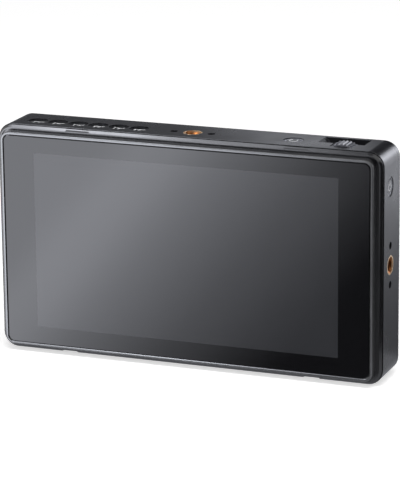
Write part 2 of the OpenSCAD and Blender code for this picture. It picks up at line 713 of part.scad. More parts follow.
// Lever under the plate: the tab holds the battery, and the round pad at its right end releases it
module battery_latch() color([0.09, 0.09, 0.095]) front_view() difference() {
    union() {
        span([latch_left, latch_right], [latch_y - latch_h / 2, latch_y + latch_h / 2],
             [-latch_back, -latch_front]);
        translate([-tab_w / 2, 0, 0]) rotate([90, 0, 90]) linear_extrude(tab_w) polygon([
            [latch_y, -latch_front - 0.2], [latch_y + tab_h, -latch_front - 0.2],
            [latch_y + tab_h, -plate_back + 0.1], [latch_y + 1, -plate_back - tab_proud],
            [latch_y, -plate_back - tab_proud]]);
        bar(release_x, latch_y, release_r, latch_front + 0.2, plate_front + wing_t + latch_travel - 0.4);
        bar(spring_x, latch_y, spring_r - spring_wire - 0.35, latch_front - 1.4, latch_front + 0.2);
    }
    // hollow for the fingertip
    translate([release_x, latch_y, -plate_front - wing_t - latch_travel - 9.2]) sphere(r = 10);
}

// Coil between the latch and its retainer, one unbroken wire
function wire_point(i, k) = let (a = i * 30, b = k * 360 / coil_sides)
    [(spring_r + spring_wire * cos(b)) * cos(a), (spring_r + spring_wire * cos(b)) * sin(a),
     spring_wire + 0.02 + coil_rise * i / 12 + spring_wire * sin(b)];

module latch_spring() color([0.7, 0.7, 0.72]) front_view() translate([spring_x, latch_y, -latch_front]) {
    points = [for (i = [0:coil_steps], k = [0:coil_sides - 1]) wire_point(i, k)];
    walls = [for (i = [0:coil_steps - 1], k = [0:coil_sides - 1])
        let (a = i * coil_sides, b = a + coil_sides, n = (k + 1) % coil_sides)
        each [[a + k, a + n, b + k], [a + n, b + n, b + k]]];
    first_end = [for (k = [1:coil_sides - 2]) [0, k + 1, k]];
    last_end = [for (k = [1:coil_sides - 2]) let (a = coil_steps * coil_sides) [a, a + k, a + k + 1]];
    polyhedron(points, concat(walls, first_end, last_end));
}

module latch_retainer() color([0.6, 0.61, 0.63]) front_view() difference() {
    middle = (retainer_ends[0] + retainer_ends[1]) / 2;
    translate([middle, latch_y, -retainer_back])
        linear_extrude(retainer_t) rounded_rect(retainer_ends[1] - retainer_ends[0] + 5, 6.4, 2);
    for (x = retainer_ends)
        bar(x, latch_y, screw_r + 0.15, retainer_back - retainer_t - 1, retainer_back + 1);
}

module retainer_screws() color([0.6, 0.6, 0.62]) front_view()
    for (x = retainer_ends)
        translate([x, latch_y, -retainer_back + retainer_t + 0.8]) pan_screw(1.7, 0.8, retainer_t + 2.4);

// ---------------------------------------------------------------- boards

module main_board() color([0.05, 0.25, 0.12]) front_view() difference() {
    layer(board_front, board_back) polygon([
        [board_left, board_bottom], [board_right, board_bottom], [board_right, board_notch_y],
        [board_notch_x, board_notch_y], [board_notch_x, board_top], [board_left, board_top]]);
    for (s = standoffs) bar(s[0], s[1], board_screw_r + 0.15, board_front - 1, board_back + 1);
}

module board_screws() color([0.6, 0.6, 0.62]) front_view() for (s = standoffs) {
    bar(s[0], s[1], 1.5, board_back, board_back + 0.9);
    bar(s[0], s[1], board_screw_r, board_front - 3.2, board_back + 0.1);
}

module board_components() color([0.1, 0.1, 0.11]) front_view() {
    chip_back = board_back + chip_t;
    span([2, 2 + chip_w], [4, 4 + chip_w], [-chip_back, -board_back]);
    span([-22, -22 + chip_w], [0, chip_w], [-chip_back, -board_back]);
    for (i = [0:3]) span([24 + i * 5, 27 + i * 5], [-6, -1], [-board_back - 1.2, -board_back]);
    for (i = [0:2]) bar(-44 + i * 8, -20, 3, board_back, board_back + 3.2);
    // socket for the display's flex, on the board's front face
    span([flex_x, flex_x + flex_w], [flex_rise_y + 4.3, flex_rise_y + 7.3],
         [-board_front, -board_front + 1.4]);
}

module heat_spreader() color([0.72, 0.73, 0.75]) front_view() {
    base_back = board_back + chip_t + 1;
    span([-26, 24], [-2, 24], [-base_back, -board_back - chip_t]);
    for (i = [0:9]) span([-26 + i * 5.4, -25.2 + i * 5.4], [0, 24], [-base_back - 1.1, -base_back + 0.1]);
}

// ---------------------------------------------------------------- buttons

// Push button in its face's frame: cap, flange behind the wall and a stem over its switch
module button_body(drop) {
    stem_r = 1.5;
    translate([0, 0, -flange_top - flange_t]) cylinder(r = cap_r, h = flange_top + flange_t - drop);
    span([-3.3, 3.3], [-flange_half, flange_half], [-flange_top - flange_t, -flange_top]);
    translate([0, 0, -stem_end]) cylinder(r = stem_r, h = stem_end - flange_top);
}

module dished_button() difference() {
    dish_depth = 0.5;
    button_body(cap_drop);
    translate([0, 0, dish_r - cap_drop - dish_depth]) sphere(r = dish_r, $fn = 96);
}

module ringed_button() difference() {
    button_body(key_drop);
    translate([0, 0, -key_drop - 0.35]) difference() {
        cylinder(r = cap_r - 0.55, h = 1);
        translate([0, 0, -0.1]) cylinder(r = cap_r - 0.95, h = 1.2);
    }
}

module function_button(i) color([0.15, 0.15, 0.16]) top_face(button_xs[i], control_depth) dished_button();
module return_button() color([0.17, 0.17, 0.18]) top_face(return_x, return_depth) ringed_button();
module power_button() color([0.19, 0.19, 0.2]) right_face(power_y, power_depth) ringed_button();

// Small board under a row of switches, in a face's frame
module key_board(ends) span(ends, [web_back + 0.1 - control_depth, 4.2], [-key_board_bottom, -key_board_top]);

module key_boards() color([0.05, 0.25, 0.12]) {
    top_face(0, control_depth) key_board(row_ends);
    top_face(0, control_depth) key_board(return_ends);
}

module key_switch() {
    base = 0.8;
    translate([0, 0, -key_board_top]) {
        span([-2.2, 2.2], [-2.2, 2.2], [0, base]);
        cylinder(r = 1.3, h = switch_h);
    }
}

module key_switches() color([0.7, 0.7, 0.72]) {
    for (x = button_xs) top_face(x, control_depth) key_switch();
    top_face(return_x, return_depth) key_switch();
}

module power_board() color([0.05, 0.25, 0.12]) right_face(power_y, control_depth)
    key_board([-power_board_half, power_board_half]);

module power_switch() color([0.7, 0.7, 0.72]) right_face(power_y, power_depth) key_switch();

// ---------------------------------------------------------------- scroll wheel

// Frame of the wheel: origin on its axis at the front plane, z pointing back
module wheel_view() translate([wheel_x, -overall_d / 2, body_h - axle_drop]) rotate([-90, 0, 0]) children();

function tooth_outline(teeth, r, depth) = [for (i = [0:teeth - 1], k = [0:3])
    let (a = (i + [0.05, 0.3, 0.55, 0.8][k]) * 360 / teeth, rr = k < 2 ? r : r - depth)
    [rr * cos(a), rr * sin(a)]];

module scroll_wheel() color([0.12, 0.12, 0.13]) wheel_view() difference() {
    tooth_h = 0.45;
    chamfer_r = wheel_r - wheel_chamfer;
    translate([0, 0, wheel_front]) intersection() {
        linear_extrude(wheel_t) polygon(tooth_outline(wheel_teeth, wheel_r, tooth_h));
        rotate_extrude() polygon([[0, 0], [chamfer_r, 0], [wheel_r + 0.1, wheel_chamfer + 0.1],
            [wheel_r + 0.1, wheel_t - wheel_chamfer - 0.1], [chamfer_r, wheel_t], [0, wheel_t]]);
    }
    translate([0, 0, wheel_front - 1]) cylinder(r = axle_r + 0.01, h = wheel_t + 2);
    for (z = [wheel_front - 1, wheel_back - 1.2]) translate([0, 0, z]) difference() {
        cylinder(r = wheel_r - 1.6, h = 2.2);
        translate([0, 0, -0.1]) cylinder(r = axle_r + 1.4, h = 2.4);
    }
}

module wheel_axle() color([0.75, 0.75, 0.77]) wheel_view()
    translate([0, 0, carrier_front + 0.1])
        cylinder(r = axle_r, h = carrier_back + encoder_t - 0.6 - carrier_front);

module wheel_carriage() color([0.85, 0.85, 0.8]) wheel_view() difference() {
    // y points down here
    base_y = carrier_base - axle_drop;
    union() {
        for (z = [carrier_front, carrier_back - arm_t]) {
            translate([0, 0, z]) cylinder(r = arm_r, h = arm_t);
            span([-arm_r, arm_r], [0, base_y + 0.3], [z, z + arm_t]);
        }
        span([-carrier_half, carrier_half], [base_y, base_y + carrier_base_t], [carrier_front, carrier_back]);
    }
    translate([0, 0, carrier_front - 1])
        cylinder(r = axle_r + axle_play, h = carrier_back - carrier_front + 2);
}

module wheel_encoder() color([0.1, 0.12, 0.2]) wheel_view() difference() {
    span([-3.3, 3.3], [-encoder_rise, 3.6], [carrier_back, carrier_back + encoder_t]);
    translate([0, 0, carrier_back - 1]) cylinder(r = axle_r + axle_play, h = encoder_t + 2);
}

module wheel_bracket() color([0.6, 0.61, 0.63]) top_face(wheel_x, 0) {
    span([-bracket_half, bracket_half], [web_back + 0.1, bracket_back],
         [-bracket_top - bracket_t, -bracket_top]);
    // upright guides on each side of the carriage
    for (x = [carrier_half + 0.2, -carrier_half - 1])
        span([x, x + 0.8], [carrier_front, carrier_back], [-bracket_top - 0.2, -carrier_base + 2.4]);
}

module wheel_switch() color([0.7, 0.7, 0.72]) top_face(wheel_x, control_depth) {
    span([-2.6, 2.6], [-2.6, 2.6], [-bracket_top, -bracket_top + click_h - 0.4]);
    translate([0, 0, -bracket_top]) cylinder(r = 1.4, h = click_h);
}

// ---------------------------------------------------------------- thread inserts

module thread_insert() {
    outer_r = insert_r - 0.02;
    groove_r = insert_r - 0.25;
    rotate_extrude() polygon([
        [thread_r, 0], [thread_r, -insert_len], [outer_r, -insert_len], [outer_r, -insert_len + 2],
        [groove_r, -insert_len + 2.3], [groove_r, -insert_len + 3.2], [outer_r, -insert_len + 3.5],
        [outer_r, -0.05], [outer_r - 0.05, 0]]);
}

module top_thread_insert() color([0.75, 0.53, 0.22]) top_face(top_insert_x, control_depth) thread_insert();
module side_thread_insert() color([0.75, 0.53, 0.22]) right_face(0, control_depth) thread_insert();
module bottom_thread_insert() color([0.75, 0.53, 0.22]) bottom_face(0, control_depth) thread_insert();

// ---------------------------------------------------------------- ports on the left side

module video_port() difference() {
    length = 11.5;
    mouth_w = 14;
    mouth_t = 4.5;
    corner = 1.6;
    translate([0, 0, -port_recess - length]) linear_extrude(length) rounded_rect(video_w, video_t, 0.5);
    difference() {
        translate([0, 0, -port_recess - 9]) linear_extrude(10) polygon([
            [-mouth_w / 2, -mouth_t / 2], [mouth_w / 2, -mouth_t / 2], [mouth_w / 2, mouth_t / 2 - corner],
            [mouth_w / 2 - corner, mouth_t / 2], [corner - mouth_w / 2, mouth_t / 2],
            [-mouth_w / 2, mouth_t / 2 - corner]]);
        span([-5.6, 5.6], [-0.7, 0.1], [-port_recess - 9.5, -port_recess - 1]);
    }
}

module video_output() color([0.7, 0.7, 0.72]) left_face(port_y[1], video_depth) video_port();
module video_input() color([0.7, 0.7, 0.72]) left_face(port_y[2], video_depth) video_port();

module data_port() color([0.7, 0.7, 0.72]) left_face(port_y[3], data_depth) difference() {
    length = 9;
    shell = 0.3;
    translate([0, 0, -port_recess - length]) linear_extrude(length)
        rounded_rect(data_w, data_t, data_t / 2 - 0.01);
    difference() {
        translate([0, 0, -port_recess - 6.5]) linear_extrude(8)
            rounded_rect(data_w - 2 * shell, data_t - 2 * shell, data_t / 2 - shell - 0.01);
        span([-3.35, 3.35], [-0.35, 0.35], [-port_recess - 7, -port_recess - 0.6]);
    }
}

module supply_jack() color([0.05, 0.05, 0.055]) left_face(port_y[4], supply_depth) {
    length = 11;
    difference() {
        union() {
            span([-4.4, 4.4], [-3.2, 3.2], [-length, -wall - 0.3]);
            translate([0, 0, -wall - 0.5]) cylinder(r = supply_r + 0.75, h = wall + 0.5 - port_recess);
        }
        translate([0, 0, -length + 1.5]) cylinder(r = supply_r + 0.25, h = length);
    }
    translate([0, 0, -length + 1]) cylinder(r = 0.8, h = length - 2.2);
}

module headphone_jack() color([0.05, 0.05, 0.055]) left_face(port_y[0], headphone_depth) difference() {
    length = 12;
    union() {
        span([-3, 3], [-2.6, 2.6], [-length, -wall - 0.3]);
        translate([0, 0, -wall - 0.5]) cylinder(r = 2.9, h = wall + 0.5 - port_recess);
    }
    translate([0, 0, -length + 1]) cylinder(r = headphone_r, h = length);
}

// ---------------------------------------------------------------- assembly

cover_glass();
screen_bezel();
panel_gasket();
lcd_panel();
backlight_unit();
display_flex();
front_frame();
front_frame_screws();
main_housing();
rear_cover();
rear_cover_screws();
battery_plate();
battery_plate_screws();
contact_block();
battery_contacts();
battery_leads();
battery_latch();
latch_spring();
latch_retainer();
retainer_screws();
main_board();
board_components();
board_screws();
heat_spreader();
function_button(0);  // function_button_1
function_button(1);  // function_button_2
function_button(2);  // function_button_3
function_button(3);  // function_button_4
function_button(4);  // function_button_5
function_button(5);  // function_button_6
key_boards();
key_switches();
return_button();
scroll_wheel();
wheel_axle();
wheel_carriage();
wheel_encoder();
wheel_bracket();
wheel_switch();
power_button();
power_board();
power_switch();
top_thread_insert();
side_thread_insert();
bottom_thread_insert();
video_output();
video_input();
data_port();
supply_jack();
headphone_jack();
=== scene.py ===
"""Looks of the camera field monitor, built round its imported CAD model."""

import json
import math

import bpy
from bpy.props import FloatProperty, FloatVectorProperty, IntProperty, PointerProperty
from bpy.types import Operator, Panel, PropertyGroup
from mathutils import Matrix, Vector

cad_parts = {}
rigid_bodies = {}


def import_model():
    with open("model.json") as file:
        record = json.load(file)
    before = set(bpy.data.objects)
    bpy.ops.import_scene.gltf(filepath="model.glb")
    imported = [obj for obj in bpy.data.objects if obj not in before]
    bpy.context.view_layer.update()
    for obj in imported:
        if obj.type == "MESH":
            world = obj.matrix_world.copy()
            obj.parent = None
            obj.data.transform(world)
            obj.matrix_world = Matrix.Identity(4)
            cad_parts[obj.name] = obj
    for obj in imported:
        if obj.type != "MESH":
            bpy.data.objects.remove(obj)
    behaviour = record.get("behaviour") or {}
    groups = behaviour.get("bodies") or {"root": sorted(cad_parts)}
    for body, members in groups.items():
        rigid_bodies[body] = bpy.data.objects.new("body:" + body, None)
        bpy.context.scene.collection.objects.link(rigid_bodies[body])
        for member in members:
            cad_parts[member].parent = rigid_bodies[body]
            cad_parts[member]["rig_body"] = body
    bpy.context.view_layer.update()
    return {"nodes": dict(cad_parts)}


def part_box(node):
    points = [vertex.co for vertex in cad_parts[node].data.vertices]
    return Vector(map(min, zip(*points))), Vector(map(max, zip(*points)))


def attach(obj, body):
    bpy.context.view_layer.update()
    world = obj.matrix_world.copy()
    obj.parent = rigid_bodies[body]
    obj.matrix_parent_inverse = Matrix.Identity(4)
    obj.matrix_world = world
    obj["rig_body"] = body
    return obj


bl_info = {
    "name": "Field Monitor Looks",
    "version": (1, 0, 0),
    "blender": (4, 5, 0),
    "location": "View3D > Sidebar > Field Monitor",
    "description": "Finishes, threads, key marks and studio for the camera field monitor",
    "category": "Object",
}

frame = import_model()

MM = 0.001

# rim of the panel outside its picture, the picture's middle from the panel's in mm, its soft edge
PANEL_RIM = 2.8 * MM
PICTURE_SHIFT = (0.2, 0.0, 0.35)
PICTURE_EDGE = 0.12 * MM

# where a finish is still clear and where the painted shade in it is full, matt and black, back from
# the seam behind the ring
HOUSING_JOINT_SHADE = (0.12 * MM, 0.04 * MM)
RING_JOINT_SHADE = (-0.48 * MM, -0.42 * MM)

# radius of an insert's bore, first ridge below its face, half a ridge as a share of the pitch,
# how far a ridge is rooted in the wall, slack in telling its corners apart, steps in a turn
THREAD_BORE = 3.175 * MM
THREAD_START = -0.9 * MM
HALF_RIDGE = 0.46
RIDGE_ROOT = 0.15 * MM
CORNER_SLACK = 0.1 * MM
THREAD_STEPS = 32

# numerals and signs, as shares of their height, stroke and radius, and gaps in degrees
FRAME_WIDTH = 1.6
FRAME_CUTS = 5
NUMERAL_HEIGHT = 1.05
NUMERAL_WEIGHT = 0.25
POWER_GAP = 70
ARROW_GAP = 90
BAR_HEIGHT = 0.7
HEAD_SIZE = 2.2
HEAD_PLACE = 0.707

FLOOR_SIZE = 4.0
FLOOR_PLACE = (0, 0.6, -0.0002)
FLOOR_LIFT = 0.62

# the photograph's camera: azimuth, elevation and roll in degrees, aim right of and above the middle
CAMERA_TURN = (21.527, 15.39, -0.598)
CAMERA_AIM = (6.802 * MM, 2.693 * MM)
CAMERA_DISTANCE = 1.040547
FOCAL_PIXELS = 2786.855
PICTURE_PIXELS = 500.0
SENSOR_WIDTH = 36.0


# ---------------------------------------------------------------- settings


def colour_setting(name, description, default):
    """A colour that the panel can change."""
    return FloatVectorProperty(
        name=name,
        description=description,
        subtype="COLOR",
        size=3,
        min=0.0,
        max=1.0,
        default=default,
    )


def length_setting(name, description, sizes):
    """A length that the panel can change: its least, greatest and first value in mm."""
    least, greatest, first = (size * MM for size in sizes)
    return FloatProperty(
        name=name,
        description=description,
        unit="LENGTH",
        min=least,
        max=greatest,
        default=first,
    )


class FinishSettings(PropertyGroup):
    """Colours and gloss of the parts that show"""

    housing_colour: colour_setting(
        "Housing",
        "Satin coat of the housing, rear cover and keys",
        (0.0105, 0.0108, 0.0125),
    )
    housing_gloss: FloatProperty(
        name="Housing roughness",
        description="Roughness of the satin coat",
        subtype="FACTOR",
        min=0.0,
        max=1.0,
        default=0.28,
    )
    frame_colour: colour_setting(
        "Front frame",
        "Black plastic of the ring round the bezel",
        (0.008, 0.008, 0.009),
    )
    lip_colour: colour_setting(
        "Bezel lip",
        "Dark plated metal of the bezel",
        (0.15, 0.151, 0.153),
    )
    glass_colour: colour_setting(
        "Glass border",
        "Black print behind the cover glass",
        (0.004, 0.004, 0.005),
    )
    picture_colour: colour_setting(
        "Picture area",
        "Switched-off picture area seen through the glass",
        (0.04, 0.041, 0.046),
    )
    brass_colour: colour_setting(
        "Brass",
        "Machined faces of the thread inserts",
        (0.92, 0.7, 0.46),
    )
    mark_colour: colour_setting(
        "Key marks",
        "Paint of the marks on the keys",
        (0.75, 0.76, 0.78),
    )


class ThreadSettings(PropertyGroup):
    """Thread ridges inside the three inserts"""

    pitch: length_setting(
        "Pitch",
        "Distance from one ridge to the next",
        (0.5, 2.0, 1.27),
    )
    depth: length_setting(
        "Ridge height",
        "How far a ridge stands into the bore",
        (0.2, 0.8, 0.55),
    )
    # the ridges' brass is darkened to paint the shade inside the bores
    colour: colour_setting(
        "Shaded thread brass",
        "Brass of the ridges, darker than the machined faces",
        (0.33, 0.12, 0.035),
    )
    turns: IntProperty(
        name="Turns",
        description="Full turns of the thread",
        min=2,
        max=6,
        default=5,
    )


class MarkSettings(PropertyGroup):
    """Painted marks on the keys"""

    height: length_setting(
        "Frame height",
        "Height of the frame round each numeral on the six function keys",
        (1.0, 4.0, 2.6),
    )
    stroke: length_setting(
        "Stroke",
        "Width of the painted lines",
        (0.1, 0.6, 0.4),
    )
    sign_radius: length_setting(
        "Sign radius",
        "Radius of the arrow and of the power sign",
        (0.6, 2.0, 1.7),
    )
    sign_shade: FloatProperty(
        name="Sign shade",
        description="How bright the arrow and the power sign are beside the numerals",
        subtype="FACTOR",
        min=0.0,
        max=1.0,
        default=0.9,
    )
    thickness: length_setting(
        "Paint thickness",
        "Thickness of the paint",
        (0.01, 0.1, 0.03),
    )


class StudioSettings(PropertyGroup):
    """Floor, lamp and room light"""

    floor_colour: colour_setting(
        "Floor",
        "Colour of the pale floor",
        (0.8, 0.8, 0.8),
    )
    key_radiance: FloatProperty(
        name="Overhead box",
        description="Brightness of the soft box above the object",
        min=0.0,
        max=30.0,
        default=6.0,
    )
    fill: FloatProperty(
        name="Fill",
        description="Brightness of the room round the object",
        min=0.0,
        max=2.0,
        default=0.5,
    )


# ---------------------------------------------------------------- helpers


def only(*objects):
    """Selects these objects alone and makes the first one active."""
    bpy.ops.object.select_all(action="DESELECT")
    for item in objects:
        item.select_set(True)
    bpy.context.view_layer.objects.active = objects[0]


def apply_modifiers(item):
    """Applies every modifier, from the first to the last."""
    only(item)
    for name in [m.name for m in item.modifiers]:
        bpy.ops.object.modifier_apply(modifier=name)


def settle(item):
    """Puts the place, turn and size of an object into its mesh."""
    only(item)
    bpy.ops.object.transform_apply(location=True, rotation=True, scale=True)


def copy_of(item, name):
    """A copy with its own mesh."""
    only(item)
    bpy.ops.object.duplicate(linked=False)
    made = bpy.context.active_object
    made.name = name
    return made


def paint(item, material):
    """Gives an object one finish, in every slot that it has."""
    if item.material_slots:
        for slot in item.material_slots:
            slot.material = material
    else:
        item.data.materials.append(material)


def ride_as(item, body, material):
    """Paints an added piece and gives it its body and slot."""
    paint(item, material)
    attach(item, body)


# ---------------------------------------------------------------- node groups


def node(tree, kind, place=(0, 0), **values):
    """Adds a node at a place, with the settings given."""
    made = tree.nodes.new(kind)
    made.location = place
    for key, value in values.items():
        setattr(made, key, value)
    return made


def group(name, inputs, outputs):
    """An empty shader node group with named float inputs and outputs."""
    tree = bpy.data.node_groups.new(name, "ShaderNodeTree")
    for title, default in inputs:
        socket = tree.interface.new_socket(
            title, in_out="INPUT", socket_type="NodeSocketFloat"
        )
        socket.default_value = default
    for title in outputs:
        tree.interface.new_socket(title, in_out="OUTPUT", socket_type="NodeSocketFloat")
    given = node(tree, "NodeGroupInput", (-900, 0))
    result = node(tree, "NodeGroupOutput", (600, 0))
    return tree, given, result


def build_grain_group():
    """Fine pores of a moulded or coated surface, and slow clouds over it."""
    tree, given, result = group(
        "Surface grain",
        [("Pore scale", 2500.0), ("Cloud scale", 60.0)],
        ["Pores", "Clouds"],
    )
    place = node(tree, "ShaderNodeTexCoord", (-900, 250))
    pores = node(tree, "ShaderNodeTexNoise", (-500, 150))
    pores.inputs["Detail"].default_value = 3.0
    pores.inputs["Roughness"].default_value = 0.6
    clouds = node(tree, "ShaderNodeTexNoise", (-500, -150))
    clouds.inputs["Detail"].default_value = 5.0
    clouds.inputs["Roughness"].default_value = 0.55
    spread = node(tree, "ShaderNodeMapRange", (100, -150))
    spread.inputs["From Min"].default_value = 0.3
    spread.inputs["From Max"].default_value = 0.7
    for texture, scale in ((pores, "Pore scale"), (clouds, "Cloud scale")):
        tree.links.new(place.outputs["Object"], texture.inputs["Vector"])
        tree.links.new(given.outputs[scale], texture.inputs["Scale"])
    tree.links.new(clouds.outputs["Fac"], spread.inputs["Value"])
    tree.links.new(pores.outputs["Fac"], result.inputs["Pores"])
    tree.links.new(spread.outputs["Result"], result.inputs["Clouds"])
    return tree


def build_wear_group():
    """Bright along outer edges: a coat scuffed thin there, and a painted edge highlight."""
    tree, given, result = group(
        "Edge wear and highlight",
        [("Edge width", 0.35 * MM), ("Patch scale", 300.0)],
        ["Wear"],
    )
    place = node(tree, "ShaderNodeTexCoord", (-900, 300))
    bevel = node(tree, "ShaderNodeBevel", (-650, 0), samples=4)
    true = node(tree, "ShaderNodeNewGeometry", (-650, -200))
    dot = node(tree, "ShaderNodeVectorMath", (-400, -100), operation="DOT_PRODUCT")
    edge = node(tree, "ShaderNodeMapRange", (-150, -100))
    edge.inputs["From Min"].default_value = 0.995
    edge.inputs["From Max"].default_value = 0.86
    patches = node(tree, "ShaderNodeTexNoise", (-400, 250))
    patches.inputs["Detail"].default_value = 4.0
    worn_and_highlit = node(tree, "ShaderNodeMath", (200, 0), operation="MULTIPLY")
    tree.links.new(given.outputs["Edge width"], bevel.inputs["Radius"])
    tree.links.new(bevel.outputs["Normal"], dot.inputs[0])
    tree.links.new(true.outputs["Normal"], dot.inputs[1])
    tree.links.new(dot.outputs["Value"], edge.inputs["Value"])
    tree.links.new(place.outputs["Object"], patches.inputs["Vector"])
    tree.links.new(given.outputs["Patch scale"], patches.inputs["Scale"])
    tree.links.new(edge.outputs["Result"], worn_and_highlit.inputs[0])
    tree.links.new(patches.outputs["Fac"], worn_and_highlit.inputs[1])
    tree.links.new(worn_and_highlit.outputs["Value"], result.inputs["Wear"])
    return tree


def build_brush_group():
    """Fine parallel lines, as brushing or rolling leaves on metal."""
    tree, given, result = group(
        "Brushed lines",
        [("Line scale", 1500.0), ("Stretch X", 0.03), ("Stretch Y", 1.0), ("Stretch Z", 1.0)],
        ["Lines"],
    )
    place = node(tree, "ShaderNodeTexCoord", (-900, 250))
    stretch = node(tree, "ShaderNodeCombineXYZ", (-650, -50))
    turned = node(tree, "ShaderNodeVectorMath", (-400, 100), operation="MULTIPLY")
    lines = node(tree, "ShaderNodeTexNoise", (-100, 100))
    lines.inputs["Detail"].default_value = 2.0
    for axis in "XYZ":
        tree.links.new(given.outputs["Stretch " + axis], stretch.inputs[axis])
    tree.links.new(place.outputs["Object"], turned.inputs[0])
    tree.links.new(stretch.outputs["Vector"], turned.inputs[1])
    tree.links.new(turned.outputs["Vector"], lines.inputs["Vector"])
    tree.links.new(given.outputs["Line scale"], lines.inputs["Scale"])
    tree.links.new(lines.outputs["Fac"], result.inputs["Lines"])
    return tree


def effect(name):
    """The shared node group of that name, built the first time it is asked for."""
    found = bpy.data.node_groups.get(name)
    if found:
        return found
    return {
        "Surface grain": build_grain_group,
        "Edge wear and highlight": build_wear_group,
        "Brushed lines": build_brush_group,
    }[name]()


def place_effect(tree, name, place, **values):
    """Adds a shared effect, its inputs named by keyword."""
    made = node(tree, "ShaderNodeGroup", place, node_tree=effect(name))
    for key, value in values.items():
        made.inputs[key.replace("_", " ").capitalize()].default_value = value
    return made


# ---------------------------------------------------------------- materials


def blank(name, roughness, metallic=0.0, **values):
    """A new material with its shader, and the constants that stay on the shader."""
    found = bpy.data.materials.get(name)
    if found:
        bpy.data.materials.remove(found)
    material = bpy.data.materials.new(name)
    material.use_nodes = True
    tree = material.node_tree
    shader = tree.nodes["Principled BSDF"]
    shader.inputs["Roughness"].default_value = roughness
    shader.inputs["Metallic"].default_value = metallic
    for key, value in values.items():
        shader.inputs[key.replace("_", " ")].default_value = value
    return material, tree, shader


def two_tone(tree, shader, first, second, mask):
    """Base colour that goes from first to second with a mask."""
    mix = node(tree, "ShaderNodeMix", (-250, 300), data_type="RGBA")
    mix.inputs["A"].default_value = (*first, 1.0)
    mix.inputs["B"].default_value = (*second, 1.0)
    tree.links.new(mask, mix.inputs["Factor"])
    tree.links.new(mix.outputs["Result"], shader.inputs["Base Color"])
    return mix


def vary_roughness(tree, shader, mask, low, high):
    """Roughness that goes from low to high with a mask."""
    span = node(tree, "ShaderNodeMapRange", (-250, 0))
    span.inputs["To Min"].default_value = low
    span.inputs["To Max"].default_value = high
    tree.links.new(mask, span.inputs["Value"])
    tree.links.new(span.outputs["Result"], shader.inputs["Roughness"])


def bump_from(tree, shader, height, distance, strength=1.0):
    """Fine relief from a height between 0 and 1."""
    bump = node(tree, "ShaderNodeBump", (-250, -250))
    bump.inputs["Strength"].default_value = strength
    bump.inputs["Distance"].default_value = distance
    tree.links.new(height, bump.inputs["Height"])
    tree.links.new(bump.outputs["Normal"], shader.inputs["Normal"])


def shade(colour, factor):
    """A colour made darker or brighter, up to full."""
    return tuple(min(1.0, c * factor) for c in colour)


def coated(name, colour, roughness, wear, bare_and_highlight, pore_scale=2600.0, pore_depth=0.004):
    """Satin coat over metal: fine pores, slow clouds, and edges scuffed thin that also carry a
    painted highlight.
    """
    material, tree, shader = blank(name, roughness)
    grain = place_effect(tree, "Surface grain", (-900, 100), pore_scale=pore_scale)
    edge_wear_and_highlight = place_effect(tree, "Edge wear and highlight", (-900, -200))
    mix = two_tone(tree, shader, shade(colour, 0.88), shade(colour, 1.12), grain.outputs["Clouds"])
    worn_and_highlit = node(tree, "ShaderNodeMix", (-50, 400), data_type="RGBA")
    amount = node(tree, "ShaderNodeMath", (-450, 500), operation="MULTIPLY")
    amount.inputs[1].default_value = wear
    # the brightened edge colour is scuffed coat and a painted edge highlight at once
    worn_and_highlit.inputs["B"].default_value = (*shade(colour, bare_and_highlight), 1.0)
    tree.links.new(edge_wear_and_highlight.outputs["Wear"], amount.inputs[0])
    tree.links.new(amount.outputs["Value"], worn_and_highlit.inputs["Factor"])
    tree.links.new(mix.outputs["Result"], worn_and_highlit.inputs["A"])
    tree.links.new(worn_and_highlit.outputs["Result"], shader.inputs["Base Color"])
    vary_roughness(tree, shader, grain.outputs["Clouds"], roughness - 0.04, roughness + 0.05)
    bump_from(tree, shader, grain.outputs["Pores"], pore_depth * MM * 4)
    return material


def moulded(name, colour, roughness, pore_scale=1800.0, pore_depth=0.006):
    """Moulded plastic with a fine spark-eroded texture."""
    material, tree, shader = blank(name, roughness)
    grain = place_effect(tree, "Surface grain", (-900, 100), pore_scale=pore_scale)
    two_tone(tree, shader, shade(colour, 0.85), shade(colour, 1.15), grain.outputs["Clouds"])
    vary_roughness(tree, shader, grain.outputs["Clouds"], roughness - 0.05, roughness + 0.05)
    bump_from(tree, shader, grain.outputs["Pores"], pore_depth * MM * 4)
    return material


def machined(name, colour, roughness, stretch=(0.03, 1.0, 1.0), line_scale=1500.0):
    """Bare metal with fine tool or rolling lines."""
    material, tree, shader = blank(name, roughness, metallic=1.0)
    lines = place_effect(tree, "Brushed lines", (-900, 100), line_scale=line_scale)
    for axis, value in zip("XYZ", stretch):
        lines.inputs["Stretch " + axis].default_value = value
    two_tone(tree, shader, shade(colour, 0.82), shade(colour, 1.1), lines.outputs["Lines"])
    vary_roughness(tree, shader, lines.outputs["Lines"], roughness - 0.08, roughness + 0.1)
    bump_from(tree, shader, lines.outputs["Lines"], 0.004 * MM)
    return material


def laminate(name):
    """Green board with its copper tracks showing faintly under the mask."""
    material, tree, shader = blank(name, 0.35)
    place = node(tree, "ShaderNodeTexCoord", (-1200, 200))
    tracks = node(tree, "ShaderNodeTexBrick", (-900, 200), offset=0.35, squash=1.6)
    tracks.inputs["Scale"].default_value = 420.0
    tracks.inputs["Mortar Size"].default_value = 0.035
    turn = node(tree, "ShaderNodeMapping", (-1050, 200))
    turn.inputs["Rotation"].default_value = (math.radians(90), 0, math.radians(45))
    tree.links.new(place.outputs["Object"], turn.inputs["Vector"])
    tree.links.new(turn.outputs["Vector"], tracks.inputs["Vector"])
    two_tone(tree, shader, (0.008, 0.075, 0.03), (0.02, 0.16, 0.06), tracks.outputs["Fac"])
    bump_from(tree, shader, tracks.outputs["Fac"], 0.02 * MM)
    return material


